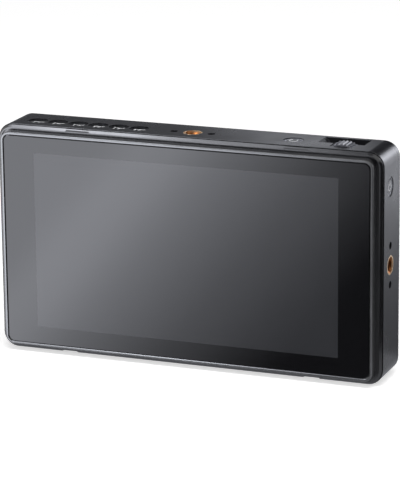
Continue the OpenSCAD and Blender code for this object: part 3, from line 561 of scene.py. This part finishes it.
def glass(name, finish):
    """Cover glass over a black border and a switched-off picture area."""
    material, tree, shader = blank(name, 0.06, IOR=1.52)
    low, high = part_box("lcd_panel")
    middle = (low + high) / 2 + Vector(PICTURE_SHIFT) * MM
    place = node(tree, "ShaderNodeTexCoord", (-1500, 200))
    centred = node(tree, "ShaderNodeVectorMath", (-1300, 200), operation="SUBTRACT")
    centred.inputs[1].default_value = (middle.x, 0.0, middle.z)
    distance = node(tree, "ShaderNodeVectorMath", (-1100, 200), operation="ABSOLUTE")
    parts = node(tree, "ShaderNodeSeparateXYZ", (-900, 200))
    half = ((high.x - low.x) / 2 - PANEL_RIM, (high.z - low.z) / 2 - PANEL_RIM)
    tree.links.new(place.outputs["Object"], centred.inputs[0])
    tree.links.new(centred.outputs["Vector"], distance.inputs[0])
    tree.links.new(distance.outputs["Vector"], parts.inputs["Vector"])
    masks = []
    for axis, reach, row in (("X", half[0], 300), ("Z", half[1], 100)):
        edge = node(tree, "ShaderNodeMapRange", (-700, row))
        edge.inputs["From Min"].default_value = reach + PICTURE_EDGE
        edge.inputs["From Max"].default_value = reach - PICTURE_EDGE
        tree.links.new(parts.outputs[axis], edge.inputs["Value"])
        masks.append(edge)
    picture = node(tree, "ShaderNodeMath", (-500, 200), operation="MULTIPLY")
    tree.links.new(masks[0].outputs["Result"], picture.inputs[0])
    tree.links.new(masks[1].outputs["Result"], picture.inputs[1])
    two_tone(tree, shader, finish.glass_colour, finish.picture_colour, picture.outputs["Value"])
    grain = place_effect(tree, "Surface grain", (-900, -200), cloud_scale=18.0)
    vary_roughness(tree, shader, grain.outputs["Clouds"], 0.05, 0.085)
    return material


def foam(name):
    """Black foam with open cells."""
    material, tree, shader = blank(name, 0.95)
    place = node(tree, "ShaderNodeTexCoord", (-1100, 100))
    cells = node(tree, "ShaderNodeTexVoronoi", (-800, 100))
    cells.inputs["Scale"].default_value = 2200.0
    tree.links.new(place.outputs["Object"], cells.inputs["Vector"])
    two_tone(tree, shader, (0.01, 0.01, 0.01), (0.035, 0.035, 0.035), cells.outputs["Distance"])
    bump_from(tree, shader, cells.outputs["Distance"], 0.08 * MM)
    return material


def striped(name, first, second, scale, roughness):
    """Parallel printed tracks, as on a flex film."""
    material, tree, shader = blank(name, roughness)
    place = node(tree, "ShaderNodeTexCoord", (-1100, 100))
    tracks = node(
        tree, "ShaderNodeTexWave", (-800, 100), wave_type="BANDS", bands_direction="X"
    )
    tracks.inputs["Scale"].default_value = scale
    tree.links.new(place.outputs["Object"], tracks.inputs["Vector"])
    two_tone(tree, shader, first, second, tracks.outputs["Fac"])
    bump_from(tree, shader, tracks.outputs["Fac"], 0.01 * MM)
    return material


# which finish each CAD node wears
WEARS = {
    "housing_coat": ("main_housing", "rear_cover"),
    "key_coat": ("return_button", "power_button"),
    "function_key": tuple(f"function_button_{i}" for i in range(1, 7)),
    "ring_plastic": ("front_frame",),
    "lip_metal": ("screen_bezel",),
    "cover_glass": ("cover_glass",),
    "wheel_rubber": ("scroll_wheel",),
    "insert_brass": ("top_thread_insert", "side_thread_insert", "bottom_thread_insert"),
    "plate_plastic": ("battery_plate", "battery_latch"),
    "block_plastic": ("contact_block", "supply_jack", "headphone_jack"),
    "black_screw": ("rear_cover_screws", "battery_plate_screws"),
    "bright_screw": ("front_frame_screws", "retainer_screws", "board_screws"),
    "gold_contact": ("battery_contacts",),
    "port_shell": ("video_output", "video_input", "data_port"),
    "steel_sheet": ("latch_retainer", "wheel_bracket", "backlight_unit", "wheel_axle"),
    "spring_wire": ("latch_spring",),
    "board_green": ("main_board", "key_boards", "power_board"),
    "chip_black": ("board_components", "wheel_encoder"),
    "switch_metal": ("key_switches", "wheel_switch", "power_switch"),
    "spreader_metal": ("heat_spreader",),
    "carrier_plastic": ("wheel_carriage",),
    "panel_glass": ("lcd_panel",),
    "foam_tape": ("panel_gasket",),
    "flex_film": ("display_flex",),
    "wire_cover": ("battery_leads",),
}


def wear(name, material):
    """Gives a finish to each CAD node that wears it."""
    for piece in WEARS[name]:
        paint(frame["nodes"][piece], material)


# ---------------------------------------------------------------- studio light

# soft boxes: place, aim, size, and share of the studio's brightness
LAMPS = (("overhead_box", (0.1, -0.15, 0.55), (0, 0, 0.06), (0.36, 0.3), 1.0),)
CARD_TINT = (0.905, 0.925, 1.0)
EVEN = [(0.0, 1.0), (1.0, 1.0)]
# cards that only glossy surfaces see: place, size, turn in degrees, and the brightness at
# each share of the way across and upwards
CARDS = (
    ("front_card", (-0.159, -0.42, -0.076), (0.9, 0.9), (90, 39.7, 0),
     [(0.0, 4.3), (0.417, 4.3), (0.436, 5.0), (0.453, 4.6), (0.4675, 3.7), (0.478, 3.05),
      (0.5, 2.1), (0.5256, 1.15), (0.5427, 0.8), (0.557, 0.45), (0.582, 0.08), (0.66, 0.06),
      (0.74, 2.5), (1.0, 2.5)], [(0.0, 1.0), (0.6, 1.0), (0.72, 0.25), (1.0, 0.25)]),
    ("overhead_card", (-0.12, -0.1, 0.4), (0.5, 0.3), (0, 0, 0),
     [(0.0, 1.5), (0.3, 3.5), (0.38, 9.5), (0.42, 10.0), (0.45, 4.5), (0.5, 1.8), (0.556, 3.0),
      (0.6, 2.0), (0.65, 0.5), (0.75, 0.25), (1.0, 0.2)], EVEN),
    ("back_card", (0.0, 0.25, 0.1), (1.2, 1.0), (90, 0, 0),
     [(0.0, 0.2), (0.358, 0.2), (0.4175, 0.24), (0.434, 0.5), (0.456, 0.95), (0.479, 0.95),
      (0.487, 0.6), (0.502, 0.05), (1.0, 0.05)],
     [(0.0, 1.0), (0.575, 1.0), (0.588, 0.3), (0.598, 0.03), (1.0, 0.05)]),
    ("corner_card", (0.215, 0.245, -0.1), (0.19, 0.6), (90, 0, 0),
     [(0.0, 0.02), (0.06, 0.3), (0.16, 1.0), (1.0, 1.0)],
     [(0.0, 0.02), (0.56, 0.3), (0.593, 0.36), (0.618, 0.58), (0.643, 0.8), (0.682, 1.7),
      (0.747, 1.8), (0.819, 2.2), (0.867, 5.6), (1.0, 6.2)]),
    ("shade_card", (-0.06, 0.002, -0.004), (0.38, 0.076), (0, 0, 0),
     [(0.0, 0.5), (1.0, 0.5)], EVEN),
    ("side_card", (0.5, -0.25, 0.0), (0.9, 0.7), (90, 0, 70), [(0.0, 0.03), (1.0, 0.03)], EVEN),
)


# ---------------------------------------------------------------- operators


class MONITOR_OT_casing(Operator):
    """Finish the housing, rear cover, front frame and bezel"""

    bl_idname = "monitor.casing"
    bl_label = "Casing Finishes"

    def execute(self, context):
        finish = context.scene.monitor_finish
        # housing edges get a faint painted highlight along with their wear
        coat = coated(
            "housing_coat", finish.housing_colour, finish.housing_gloss, wear=0.8, bare_and_highlight=14.0
        )
        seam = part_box("main_housing")[0].y
        # painted shade on the housing's step face at the seam behind the ring
        self.dull_joint(coat, *(seam + back for back in HOUSING_JOINT_SHADE))
        wear("housing_coat", coat)
        wear("ring_plastic", self.ring(finish))
        material, tree, shader = blank("lip_metal", 0.22, metallic=0.85)
        grain = place_effect(tree, "Surface grain", (-900, 100), pore_scale=3000.0)
        lip = finish.lip_colour
        two_tone(tree, shader, shade(lip, 0.9), shade(lip, 1.1), grain.outputs["Clouds"])
        vary_roughness(tree, shader, grain.outputs["Clouds"], 0.18, 0.26)
        bump_from(tree, shader, grain.outputs["Pores"], 0.006 * MM)
        wear("lip_metal", material)
        return {"FINISHED"}

    def ring(self, finish):
        """Hard gloss plastic, with painted shade, matt and dark, where it meets the housing."""
        material = moulded("ring_plastic", finish.frame_colour, 0.19, pore_depth=0.001)
        material.node_tree.nodes["Principled BSDF"].inputs["IOR"].default_value = 1.8
        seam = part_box("main_housing")[0].y
        # painted shade on the ring next to its seam with the housing
        self.dull_joint(material, *(seam + back for back in RING_JOINT_SHADE))
        return material

    def dull_joint(self, material, clear, full):
        """Paints shade into a finish past a depth, where two parts of the casing meet: matt and
        black.
        """
        tree = material.node_tree
        shader = tree.nodes["Principled BSDF"]
        place = node(tree, "ShaderNodeTexCoord", (-1200, -500))
        parts = node(tree, "ShaderNodeSeparateXYZ", (-1000, -500))
        joint_shade = node(tree, "ShaderNodeMapRange", (-800, -500))
        joint_shade.inputs["From Min"].default_value = clear
        joint_shade.inputs["From Max"].default_value = full
        tree.links.new(place.outputs["Object"], parts.inputs["Vector"])
        tree.links.new(parts.outputs["Y"], joint_shade.inputs["Value"])
        tree.links.new(joint_shade.outputs["Result"], shader.inputs["Metallic"])
        # the painted shade: near-black colour and full roughness
        for title, painted_shade in (("Base Color", (0.002, 0.002, 0.002, 1.0)), ("Roughness", 1.0)):
            source = shader.inputs[title].links[0].from_socket
            kind = "RGBA" if title == "Base Color" else "FLOAT"
            blend = node(tree, "ShaderNodeMix", (-100, -500), data_type=kind)
            blend.inputs["B"].default_value = painted_shade
            tree.links.new(joint_shade.outputs["Result"], blend.inputs["Factor"])
            tree.links.new(source, blend.inputs["A"])
            tree.links.new(blend.outputs["Result"], shader.inputs[title])


class MONITOR_OT_display(Operator):
    """Finish the cover glass and the display stack behind it"""

    bl_idname = "monitor.display"
    bl_label = "Display Finishes"

    def execute(self, context):
        wear("cover_glass", glass("cover_glass", context.scene.monitor_finish))
        material, tree, shader = blank("panel_glass", 0.15)
        grain = place_effect(tree, "Surface grain", (-900, 100), cloud_scale=30.0)
        two_tone(tree, shader, (0.012, 0.013, 0.02), (0.02, 0.022, 0.03), grain.outputs["Clouds"])
        wear("panel_glass", material)
        wear("foam_tape", foam("foam_tape"))
        wear("flex_film", striped("flex_film", (0.42, 0.16, 0.02), (0.6, 0.28, 0.05), 700.0, 0.3))
        return {"FINISHED"}


class MONITOR_OT_controls(Operator):
    """Finish the keys, the scroll wheel and the thread inserts"""

    bl_idname = "monitor.controls"
    bl_label = "Control Finishes"

    def execute(self, context):
        finish = context.scene.monitor_finish
        colour = finish.housing_colour
        # the key rims get a strong painted highlight along with their wear
        wear("key_coat", coated("key_coat", shade(colour, 1.05), 0.27, wear=1.6, bare_and_highlight=60.0))
        wear("function_key", moulded("function_key", shade(colour, 1.2), 0.3, pore_depth=0.002))
        wear("wheel_rubber", moulded("wheel_rubber", shade(colour, 8.0), 0.32, pore_depth=0.003))
        wear(
            "insert_brass",
            machined("insert_brass", finish.brass_colour, 0.45, (1.0, 1.0, 1.0), 900.0),
        )
        return {"FINISHED"}


class MONITOR_OT_rear(Operator):
    """Finish the battery plate, latch, contacts, ports and screws"""

    bl_idname = "monitor.rear"
    bl_label = "Rear and Port Finishes"

    def execute(self, context):
        wear("plate_plastic", moulded("plate_plastic", (0.018, 0.018, 0.019), 0.5, 1500.0, 0.01))
        wear("block_plastic", moulded("block_plastic", (0.01, 0.01, 0.011), 0.4))
        wear("black_screw", machined("black_screw", (0.06, 0.06, 0.065), 0.35))
        wear("bright_screw", machined("bright_screw", (0.5, 0.5, 0.52), 0.3))
        wear("gold_contact", machined("gold_contact", (0.85, 0.6, 0.25), 0.2, (1, 1, 0.05)))
        wear("port_shell", machined("port_shell", (0.55, 0.55, 0.57), 0.3, (0.05, 1, 1)))
        wear("spring_wire", machined("spring_wire", (0.5, 0.5, 0.52), 0.25))
        return {"FINISHED"}


class MONITOR_OT_inside(Operator):
    """Finish the boards, switches and brackets inside"""

    bl_idname = "monitor.inside"
    bl_label = "Inner Finishes"

    def execute(self, context):
        wear("steel_sheet", machined("steel_sheet", (0.45, 0.45, 0.47), 0.35))
        wear("switch_metal", machined("switch_metal", (0.55, 0.55, 0.57), 0.3))
        wear("spreader_metal", machined("spreader_metal", (0.6, 0.6, 0.62), 0.4, (1, 1, 0.03)))
        wear("board_green", laminate("board_green"))
        wear("chip_black", moulded("chip_black", (0.012, 0.012, 0.013), 0.45))
        wear("carrier_plastic", moulded("carrier_plastic", (0.5, 0.5, 0.45), 0.4))
        wear("wire_cover", moulded("wire_cover", (0.35, 0.02, 0.02), 0.35))
        return {"FINISHED"}


class MONITOR_OT_threads(Operator):
    """Add the thread ridges inside the three inserts"""

    bl_idname = "monitor.threads"
    bl_label = "Thread Ridges"

    def execute(self, context):
        size = context.scene.monitor_threads
        foot = (THREAD_BORE, 0, THREAD_START)
        bpy.ops.object.select_all(action="DESELECT")
        bpy.ops.mesh.primitive_circle_add(
            vertices=4, radius=size.pitch * HALF_RIDGE, fill_type="NOTHING", location=foot
        )
        ridge = bpy.context.active_object
        ridge.name = "thread_pattern"
        bpy.ops.object.mode_set(mode="EDIT")
        bpy.ops.transform.rotate(value=math.radians(90), orient_axis="X", center_override=foot)
        bpy.ops.object.mode_set(mode="OBJECT")
        settle(ridge)
        for corner in ridge.data.vertices:
            if corner.co.x < THREAD_BORE - CORNER_SLACK:
                corner.co.x = THREAD_BORE - size.depth
            elif corner.co.x > THREAD_BORE + CORNER_SLACK:
                corner.co.x = THREAD_BORE + RIDGE_ROOT
        screw = ridge.modifiers.new("Turns", "SCREW")
        screw.axis = "Z"
        screw.steps = screw.render_steps = THREAD_STEPS
        screw.iterations = size.turns
        screw.screw_offset = -size.pitch
        screw.use_smooth_shade = True
        apply_modifiers(ridge)
        bpy.ops.object.mode_set(mode="EDIT")
        bpy.ops.mesh.select_all(action="SELECT")
        bpy.ops.mesh.remove_doubles(threshold=1e-7)
        bpy.ops.mesh.fill_holes(sides=4)
        bpy.ops.mesh.select_all(action="SELECT")
        bpy.ops.mesh.normals_make_consistent(inside=False)
        bpy.ops.object.mode_set(mode="OBJECT")
        only(ridge)
        bpy.ops.object.shade_smooth_by_angle(angle=math.radians(35))
        # the ridges wear a darker copy of the brass, a painted shade of the bore
        brass = machined("shaded_thread_brass", size.colour, 0.3, (1.0, 1.0, 1.0), 900.0)
        for name in ("top", "side", "bottom"):
            low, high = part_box(name + "_thread_insert")
            middle = (low + high) / 2
            piece = copy_of(ridge, name + "_insert_thread")
            if name == "top":
                place = Matrix.Translation((middle.x, middle.y, high.z))
            elif name == "side":
                turn = Matrix.Rotation(math.radians(90), 4, "Y")
                place = Matrix.Translation((high.x, middle.y, middle.z)) @ turn
            else:
                turn = Matrix.Rotation(math.radians(180), 4, "X")
                place = Matrix.Translation((middle.x, middle.y, low.z)) @ turn
            piece.matrix_world = place
            settle(piece)
            ride_as(piece, "monitor_body", brass)
        bpy.data.objects.remove(ridge)
        return {"FINISHED"}


def painted_material(name, colour):
    """Matt paint, a little cloudy."""
    material, tree, shader = blank(name, 0.45)
    grain = place_effect(
        tree, "Surface grain", (-900, 100), pore_scale=4000.0, cloud_scale=900.0
    )
    two_tone(tree, shader, shade(colour, 0.85), colour, grain.outputs["Clouds"])
    bump_from(tree, shader, grain.outputs["Pores"], 0.004 * MM)
    return material


class MONITOR_OT_marks(Operator):
    """Paint framed numerals on the function keys, an arrow and a power sign on the round keys"""

    bl_idname = "monitor.marks"
    bl_label = "Key Marks"

    def execute(self, context):
        size = context.scene.monitor_marks
        white = painted_material("mark_paint", context.scene.monitor_finish.mark_colour)
        grey = painted_material(
            "sign_paint", shade(context.scene.monitor_finish.mark_colour, size.sign_shade)
        )
        for number in range(1, 7):
            key = frame["nodes"][f"function_button_{number}"]
            mark = self.numeral(str(number), size)
            self.lay_on(mark, f"function_mark_{number}", key, size.thickness)
            ride_as(mark, key["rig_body"], white)
        for name, build in (("return", self.arrow), ("power", self.power_sign)):
            key = frame["nodes"][name + "_button"]
            mark = build(size)
            self.lay_on(mark, name + "_mark", key, size.thickness)
            ride_as(mark, key["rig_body"], grey)
        return {"FINISHED"}

    def numeral(self, text, size):
        """A numeral in a thin frame, flat and centred on the origin."""
        wide, high = size.height * FRAME_WIDTH, size.height
        bpy.ops.object.select_all(action="DESELECT")
        bpy.ops.mesh.primitive_plane_add(size=1.0)
        outline = bpy.context.active_object
        outline.scale = (wide, high, 1.0)
        settle(outline)
        bpy.ops.object.mode_set(mode="EDIT")
        bpy.ops.mesh.select_all(action="SELECT")
        bpy.ops.mesh.inset(thickness=size.stroke, use_even_offset=True)
        bpy.ops.mesh.delete(type="FACE")
        bpy.ops.mesh.select_all(action="SELECT")
        bpy.ops.mesh.subdivide(number_cuts=FRAME_CUTS)
        bpy.ops.object.mode_set(mode="OBJECT")
        bpy.ops.object.select_all(action="DESELECT")
        bpy.ops.object.text_add()
        mark = bpy.context.active_object
        mark.data.body = text
        mark.data.size = size.height * NUMERAL_HEIGHT
        mark.data.offset = size.stroke * NUMERAL_WEIGHT
        mark.data.align_x = "CENTER"
        mark.data.align_y = "CENTER"
        mark.data.resolution_u = 6
        bpy.ops.object.convert(target="MESH")
        only(mark, outline)
        bpy.ops.object.join()
        return mark

    def arc(self, radius, stroke, gap):
        """A flat open ring, with a gap of so many degrees at its top."""
        bpy.ops.object.select_all(action="DESELECT")
        bpy.ops.mesh.primitive_circle_add(vertices=48, radius=radius, fill_type="NOTHING")
        mark = bpy.context.active_object
        bpy.ops.object.mode_set(mode="EDIT")
        bpy.ops.mesh.select_all(action="SELECT")
        bpy.ops.mesh.extrude_edges_move()
        bpy.ops.transform.resize(
            value=(1 - stroke / radius, 1 - stroke / radius, 1.0), center_override=(0, 0, 0)
        )
        bpy.ops.mesh.select_all(action="DESELECT")
        bpy.ops.object.mode_set(mode="OBJECT")
        for face in mark.data.polygons:
            turn = math.degrees(math.atan2(face.center.x, face.center.y))
            face.select = abs(turn) < gap / 2
        bpy.ops.object.mode_set(mode="EDIT")
        bpy.ops.mesh.select_mode(type="FACE")
        bpy.ops.mesh.delete(type="FACE")
        bpy.ops.object.mode_set(mode="OBJECT")
        return mark

    def power_sign(self, size):
        """An open ring with a bar in its gap."""
        mark = self.arc(size.sign_radius, size.stroke, POWER_GAP)
        bpy.ops.object.select_all(action="DESELECT")
        bpy.ops.mesh.primitive_plane_add(
            size=1.0, location=(0, size.sign_radius * BAR_HEIGHT, 0)
        )
        bar = bpy.context.active_object
        bar.scale = (size.stroke, size.sign_radius, 1.0)
        settle(bar)
        only(mark, bar)
        bpy.ops.object.join()
        return mark

    def arrow(self, size):
        """Three quarters of a ring that ends in an arrow head."""
        mark = self.arc(size.sign_radius, size.stroke, ARROW_GAP)
        bpy.ops.object.select_all(action="DESELECT")
        head = size.sign_radius * HEAD_PLACE
        bpy.ops.mesh.primitive_circle_add(
            vertices=3,
            radius=size.stroke * HEAD_SIZE,
            fill_type="NGON",
            location=(-head, head, 0),
        )
        point = bpy.context.active_object
        settle(point)
        only(mark, point)
        bpy.ops.object.join()
        return mark

    def lay_on(self, mark, name, key, thickness):
        """Turns a flat mark into a thin layer of paint that follows the key's outer face."""
        mark.name = name
        low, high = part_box(key.name)
        middle = (low + high) / 2
        if key.name == "power_button":
            turn = Matrix.Rotation(math.radians(90), 4, "Z") @ Matrix.Rotation(
                math.radians(90), 4, "X"
            )
            mark.matrix_world = Matrix.Translation((high.x + MM, middle.y, middle.z)) @ turn
        else:
            mark.matrix_world = Matrix.Translation((middle.x, middle.y, high.z + MM))
        settle(mark)
        drape = mark.modifiers.new("Drape", "SHRINKWRAP")
        drape.wrap_method = "PROJECT"
        drape.use_project_x = key.name == "power_button"
        drape.use_project_z = key.name != "power_button"
        drape.use_negative_direction = True
        drape.use_positive_direction = False
        drape.target = key
        drape.offset = 0.0
        body = mark.modifiers.new("Paint", "SOLIDIFY")
        body.thickness = thickness
        body.offset = 1.0
        apply_modifiers(mark)


class MONITOR_OT_studio(Operator):
    """Set up the floor, the lamp, the light cards and the camera"""

    bl_idname = "monitor.studio"
    bl_label = "Studio"

    def execute(self, context):
        studio = context.scene.monitor_studio
        self.floor(studio)
        self.room(context.scene, studio)
        self.lamps(studio)
        self.cards()
        self.camera(context.scene)
        context.scene.view_settings.view_transform = "Standard"
        return {"FINISHED"}

    def floor(self, studio):
        """A pale floor that the camera sees as white but for the shadow."""
        bpy.ops.object.select_all(action="DESELECT")
        bpy.ops.mesh.primitive_plane_add(size=FLOOR_SIZE, location=FLOOR_PLACE)
        floor = bpy.context.active_object
        floor.name = "studio_floor"
        material = bpy.data.materials.new("floor_paper")
        material.use_nodes = True
        tree = material.node_tree
        tree.nodes.clear()
        out = node(tree, "ShaderNodeOutputMaterial", (600, 0))
        paper = node(tree, "ShaderNodeBsdfDiffuse", (0, 100))
        paper.inputs["Color"].default_value = (*studio.floor_colour, 1.0)
        glow = node(tree, "ShaderNodeEmission", (0, -100))
        path = node(tree, "ShaderNodeLightPath", (-300, -100))
        both = node(tree, "ShaderNodeAddShader", (300, 0))
        lift = node(tree, "ShaderNodeMath", (-150, -250), operation="MULTIPLY")
        lift.inputs[1].default_value = FLOOR_LIFT
        tree.links.new(path.outputs["Is Camera Ray"], lift.inputs[0])
        tree.links.new(lift.outputs["Value"], glow.inputs["Strength"])
        tree.links.new(paper.outputs["BSDF"], both.inputs[0])
        tree.links.new(glow.outputs["Emission"], both.inputs[1])
        tree.links.new(both.outputs["Shader"], out.inputs["Surface"])
        floor.data.materials.append(material)
        floor.visible_glossy = False

    def room(self, scene, studio):
        """An even fill, behind which camera, glossy and transmission rays see white."""
        world = bpy.data.worlds.new("studio_room")
        scene.world = world
        world.use_nodes = True
        tree = world.node_tree
        tree.nodes.clear()
        out = node(tree, "ShaderNodeOutputWorld", (600, 0))
        fill = node(tree, "ShaderNodeBackground", (0, 100))
        fill.inputs["Strength"].default_value = studio.fill
        white = node(tree, "ShaderNodeBackground", (0, -100))
        path = node(tree, "ShaderNodeLightPath", (-300, 0))
        seen = node(tree, "ShaderNodeMath", (-100, 300), operation="MAXIMUM")
        clear = node(tree, "ShaderNodeMath", (0, 300), operation="MAXIMUM")
        either = node(tree, "ShaderNodeMixShader", (300, 0))
        tree.links.new(path.outputs["Is Camera Ray"], seen.inputs[0])
        tree.links.new(path.outputs["Is Glossy Ray"], seen.inputs[1])
        tree.links.new(seen.outputs["Value"], clear.inputs[0])
        tree.links.new(path.outputs["Is Transmission Ray"], clear.inputs[1])
        tree.links.new(clear.outputs["Value"], either.inputs["Fac"])
        tree.links.new(fill.outputs["Background"], either.inputs[1])
        tree.links.new(white.outputs["Background"], either.inputs[2])
        tree.links.new(either.outputs["Shader"], out.inputs["Surface"])

    def lamps(self, studio):
        """Soft boxes that light diffuse surfaces alone."""
        for name, place, aim, size, share in LAMPS:
            data = bpy.data.lights.new(name, "AREA")
            data.shape = "RECTANGLE"
            data.size, data.size_y = size
            data.energy = studio.key_radiance * share * math.pi * size[0] * size[1]
            lamp = bpy.data.objects.new(name, data)
            bpy.context.scene.collection.objects.link(lamp)
            lamp.location = place
            aim_at = Vector(aim) - Vector(place)
            lamp.rotation_euler = aim_at.to_track_quat("-Z", "Y").to_euler()
            lamp.visible_camera = False
            lamp.visible_glossy = False

    def cards(self):
        """Light cards that show only as reflections."""
        for name, place, size, turn, across, upward in CARDS:
            bpy.ops.object.select_all(action="DESELECT")
            bpy.ops.mesh.primitive_plane_add(
                size=1.0, location=place, rotation=[math.radians(a) for a in turn]
            )
            card = bpy.context.active_object
            card.name = name
            card.scale = (size[0], size[1], 1.0)
            card.data.materials.append(self.card_light(name, across, upward))
            card.visible_camera = False
            card.visible_diffuse = False
            card.visible_shadow = False
            card.visible_transmission = False

    def card_light(self, name, across, upward):
        """Light that changes from a card's left edge to its right, and from its foot to its top."""
        material = bpy.data.materials.new(name)
        material.use_nodes = True
        tree = material.node_tree
        tree.nodes.clear()
        out = node(tree, "ShaderNodeOutputMaterial", (600, 0))
        glow = node(tree, "ShaderNodeEmission", (300, 0))
        glow.inputs["Color"].default_value = (*CARD_TINT, 1.0)
        place = node(tree, "ShaderNodeTexCoord", (-900, 0))
        parts = node(tree, "ShaderNodeSeparateXYZ", (-700, 0))
        both = node(tree, "ShaderNodeMath", (100, 0), operation="MULTIPLY")
        tree.links.new(place.outputs["Object"], parts.inputs["Vector"])
        for slot, axis, stops in ((0, "X", across), (1, "Y", upward)):
            shift = node(tree, "ShaderNodeMath", (-500, -200 * slot), operation="ADD")
            shift.inputs[1].default_value = 0.5
            fall = node(tree, "ShaderNodeFloatCurve", (-300, -200 * slot))
            full = node(tree, "ShaderNodeMath", (-100, -200 * slot), operation="MULTIPLY")
            full.inputs[1].default_value = max(value for _, value in stops)
            curve = fall.mapping.curves[0]
            points = [(along, value / full.inputs[1].default_value) for along, value in stops]
            curve.points[0].location = points[0]
            curve.points[1].location = points[-1]
            for point in points[1:-1]:
                curve.points.new(*point)
            for point in curve.points:
                point.handle_type = "VECTOR"
            fall.mapping.update()
            tree.links.new(parts.outputs[axis], shift.inputs[0])
            tree.links.new(shift.outputs["Value"], fall.inputs["Value"])
            tree.links.new(fall.outputs["Value"], full.inputs[0])
            tree.links.new(full.outputs["Value"], both.inputs[slot])
        tree.links.new(both.outputs["Value"], glow.inputs["Strength"])
        tree.links.new(glow.outputs["Emission"], out.inputs["Surface"])
        return material

    def camera(self, scene):
        """The long lens of the photograph, aimed at the glass."""
        azimuth, elevation, roll = (math.radians(a) for a in CAMERA_TURN)
        back = Vector(
            (
                math.sin(azimuth) * math.cos(elevation),
                -math.cos(azimuth) * math.cos(elevation),
                math.sin(elevation),
            )
        )
        level = (-back).cross(Vector((0, 0, 1))).normalized()
        upward = level.cross(-back)
        right = level * math.cos(roll) + upward * math.sin(roll)
        up = upward * math.cos(roll) - level * math.sin(roll)
        low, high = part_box("screen_bezel")
        aim_right, aim_up = CAMERA_AIM
        target = Vector((aim_right, low.y, (low.z + high.z) / 2 + aim_up))
        data = bpy.data.cameras.new("photo_camera")
        data.sensor_width = SENSOR_WIDTH
        data.lens = FOCAL_PIXELS * SENSOR_WIDTH / PICTURE_PIXELS
        data.clip_start = 0.05
        data.clip_end = 20.0
        camera = bpy.data.objects.new("photo_camera", data)
        scene.collection.objects.link(camera)
        camera.matrix_world = Matrix.Translation(target + back * CAMERA_DISTANCE) @ Matrix(
            (right, up, back)
        ).transposed().to_4x4()
        scene.camera = camera


class MONITOR_PT_panel(Panel):
    """Lists the finishing steps of the field monitor"""

    bl_idname = "MONITOR_PT_panel"
    bl_label = "Field Monitor"
    bl_space_type = "VIEW_3D"
    bl_region_type = "UI"
    bl_category = "Field Monitor"

    def draw(self, context):
        layout = self.layout
        for settings in (
            context.scene.monitor_finish,
            context.scene.monitor_threads,
            context.scene.monitor_marks,
            context.scene.monitor_studio,
        ):
            box = layout.box()
            for key in settings.__annotations__:
                box.prop(settings, key)
        for step in STEPS:
            layout.operator(step.bl_idname)


SETTINGS = (FinishSettings, ThreadSettings, MarkSettings, StudioSettings)
STEPS = (
    MONITOR_OT_casing,
    MONITOR_OT_display,
    MONITOR_OT_controls,
    MONITOR_OT_rear,
    MONITOR_OT_inside,
    MONITOR_OT_threads,
    MONITOR_OT_marks,
    MONITOR_OT_studio,
)


def register():
    for item in (*SETTINGS, *STEPS, MONITOR_PT_panel):
        bpy.utils.register_class(item)
    bpy.types.Scene.monitor_finish = PointerProperty(type=FinishSettings)
    bpy.types.Scene.monitor_threads = PointerProperty(type=ThreadSettings)
    bpy.types.Scene.monitor_marks = PointerProperty(type=MarkSettings)
    bpy.types.Scene.monitor_studio = PointerProperty(type=StudioSettings)


def unregister():
    del bpy.types.Scene.monitor_studio
    del bpy.types.Scene.monitor_marks
    del bpy.types.Scene.monitor_threads
    del bpy.types.Scene.monitor_finish
    for item in (MONITOR_PT_panel, *reversed(STEPS), *reversed(SETTINGS)):
        bpy.utils.unregister_class(item)


def main():
    register()
    bpy.ops.monitor.casing()
    bpy.ops.monitor.display()
    bpy.ops.monitor.controls()
    bpy.ops.monitor.rear()
    bpy.ops.monitor.inside()
    bpy.ops.monitor.threads()
    bpy.ops.monitor.marks()
    bpy.ops.monitor.studio()


if __name__ == "__main__":
    main()
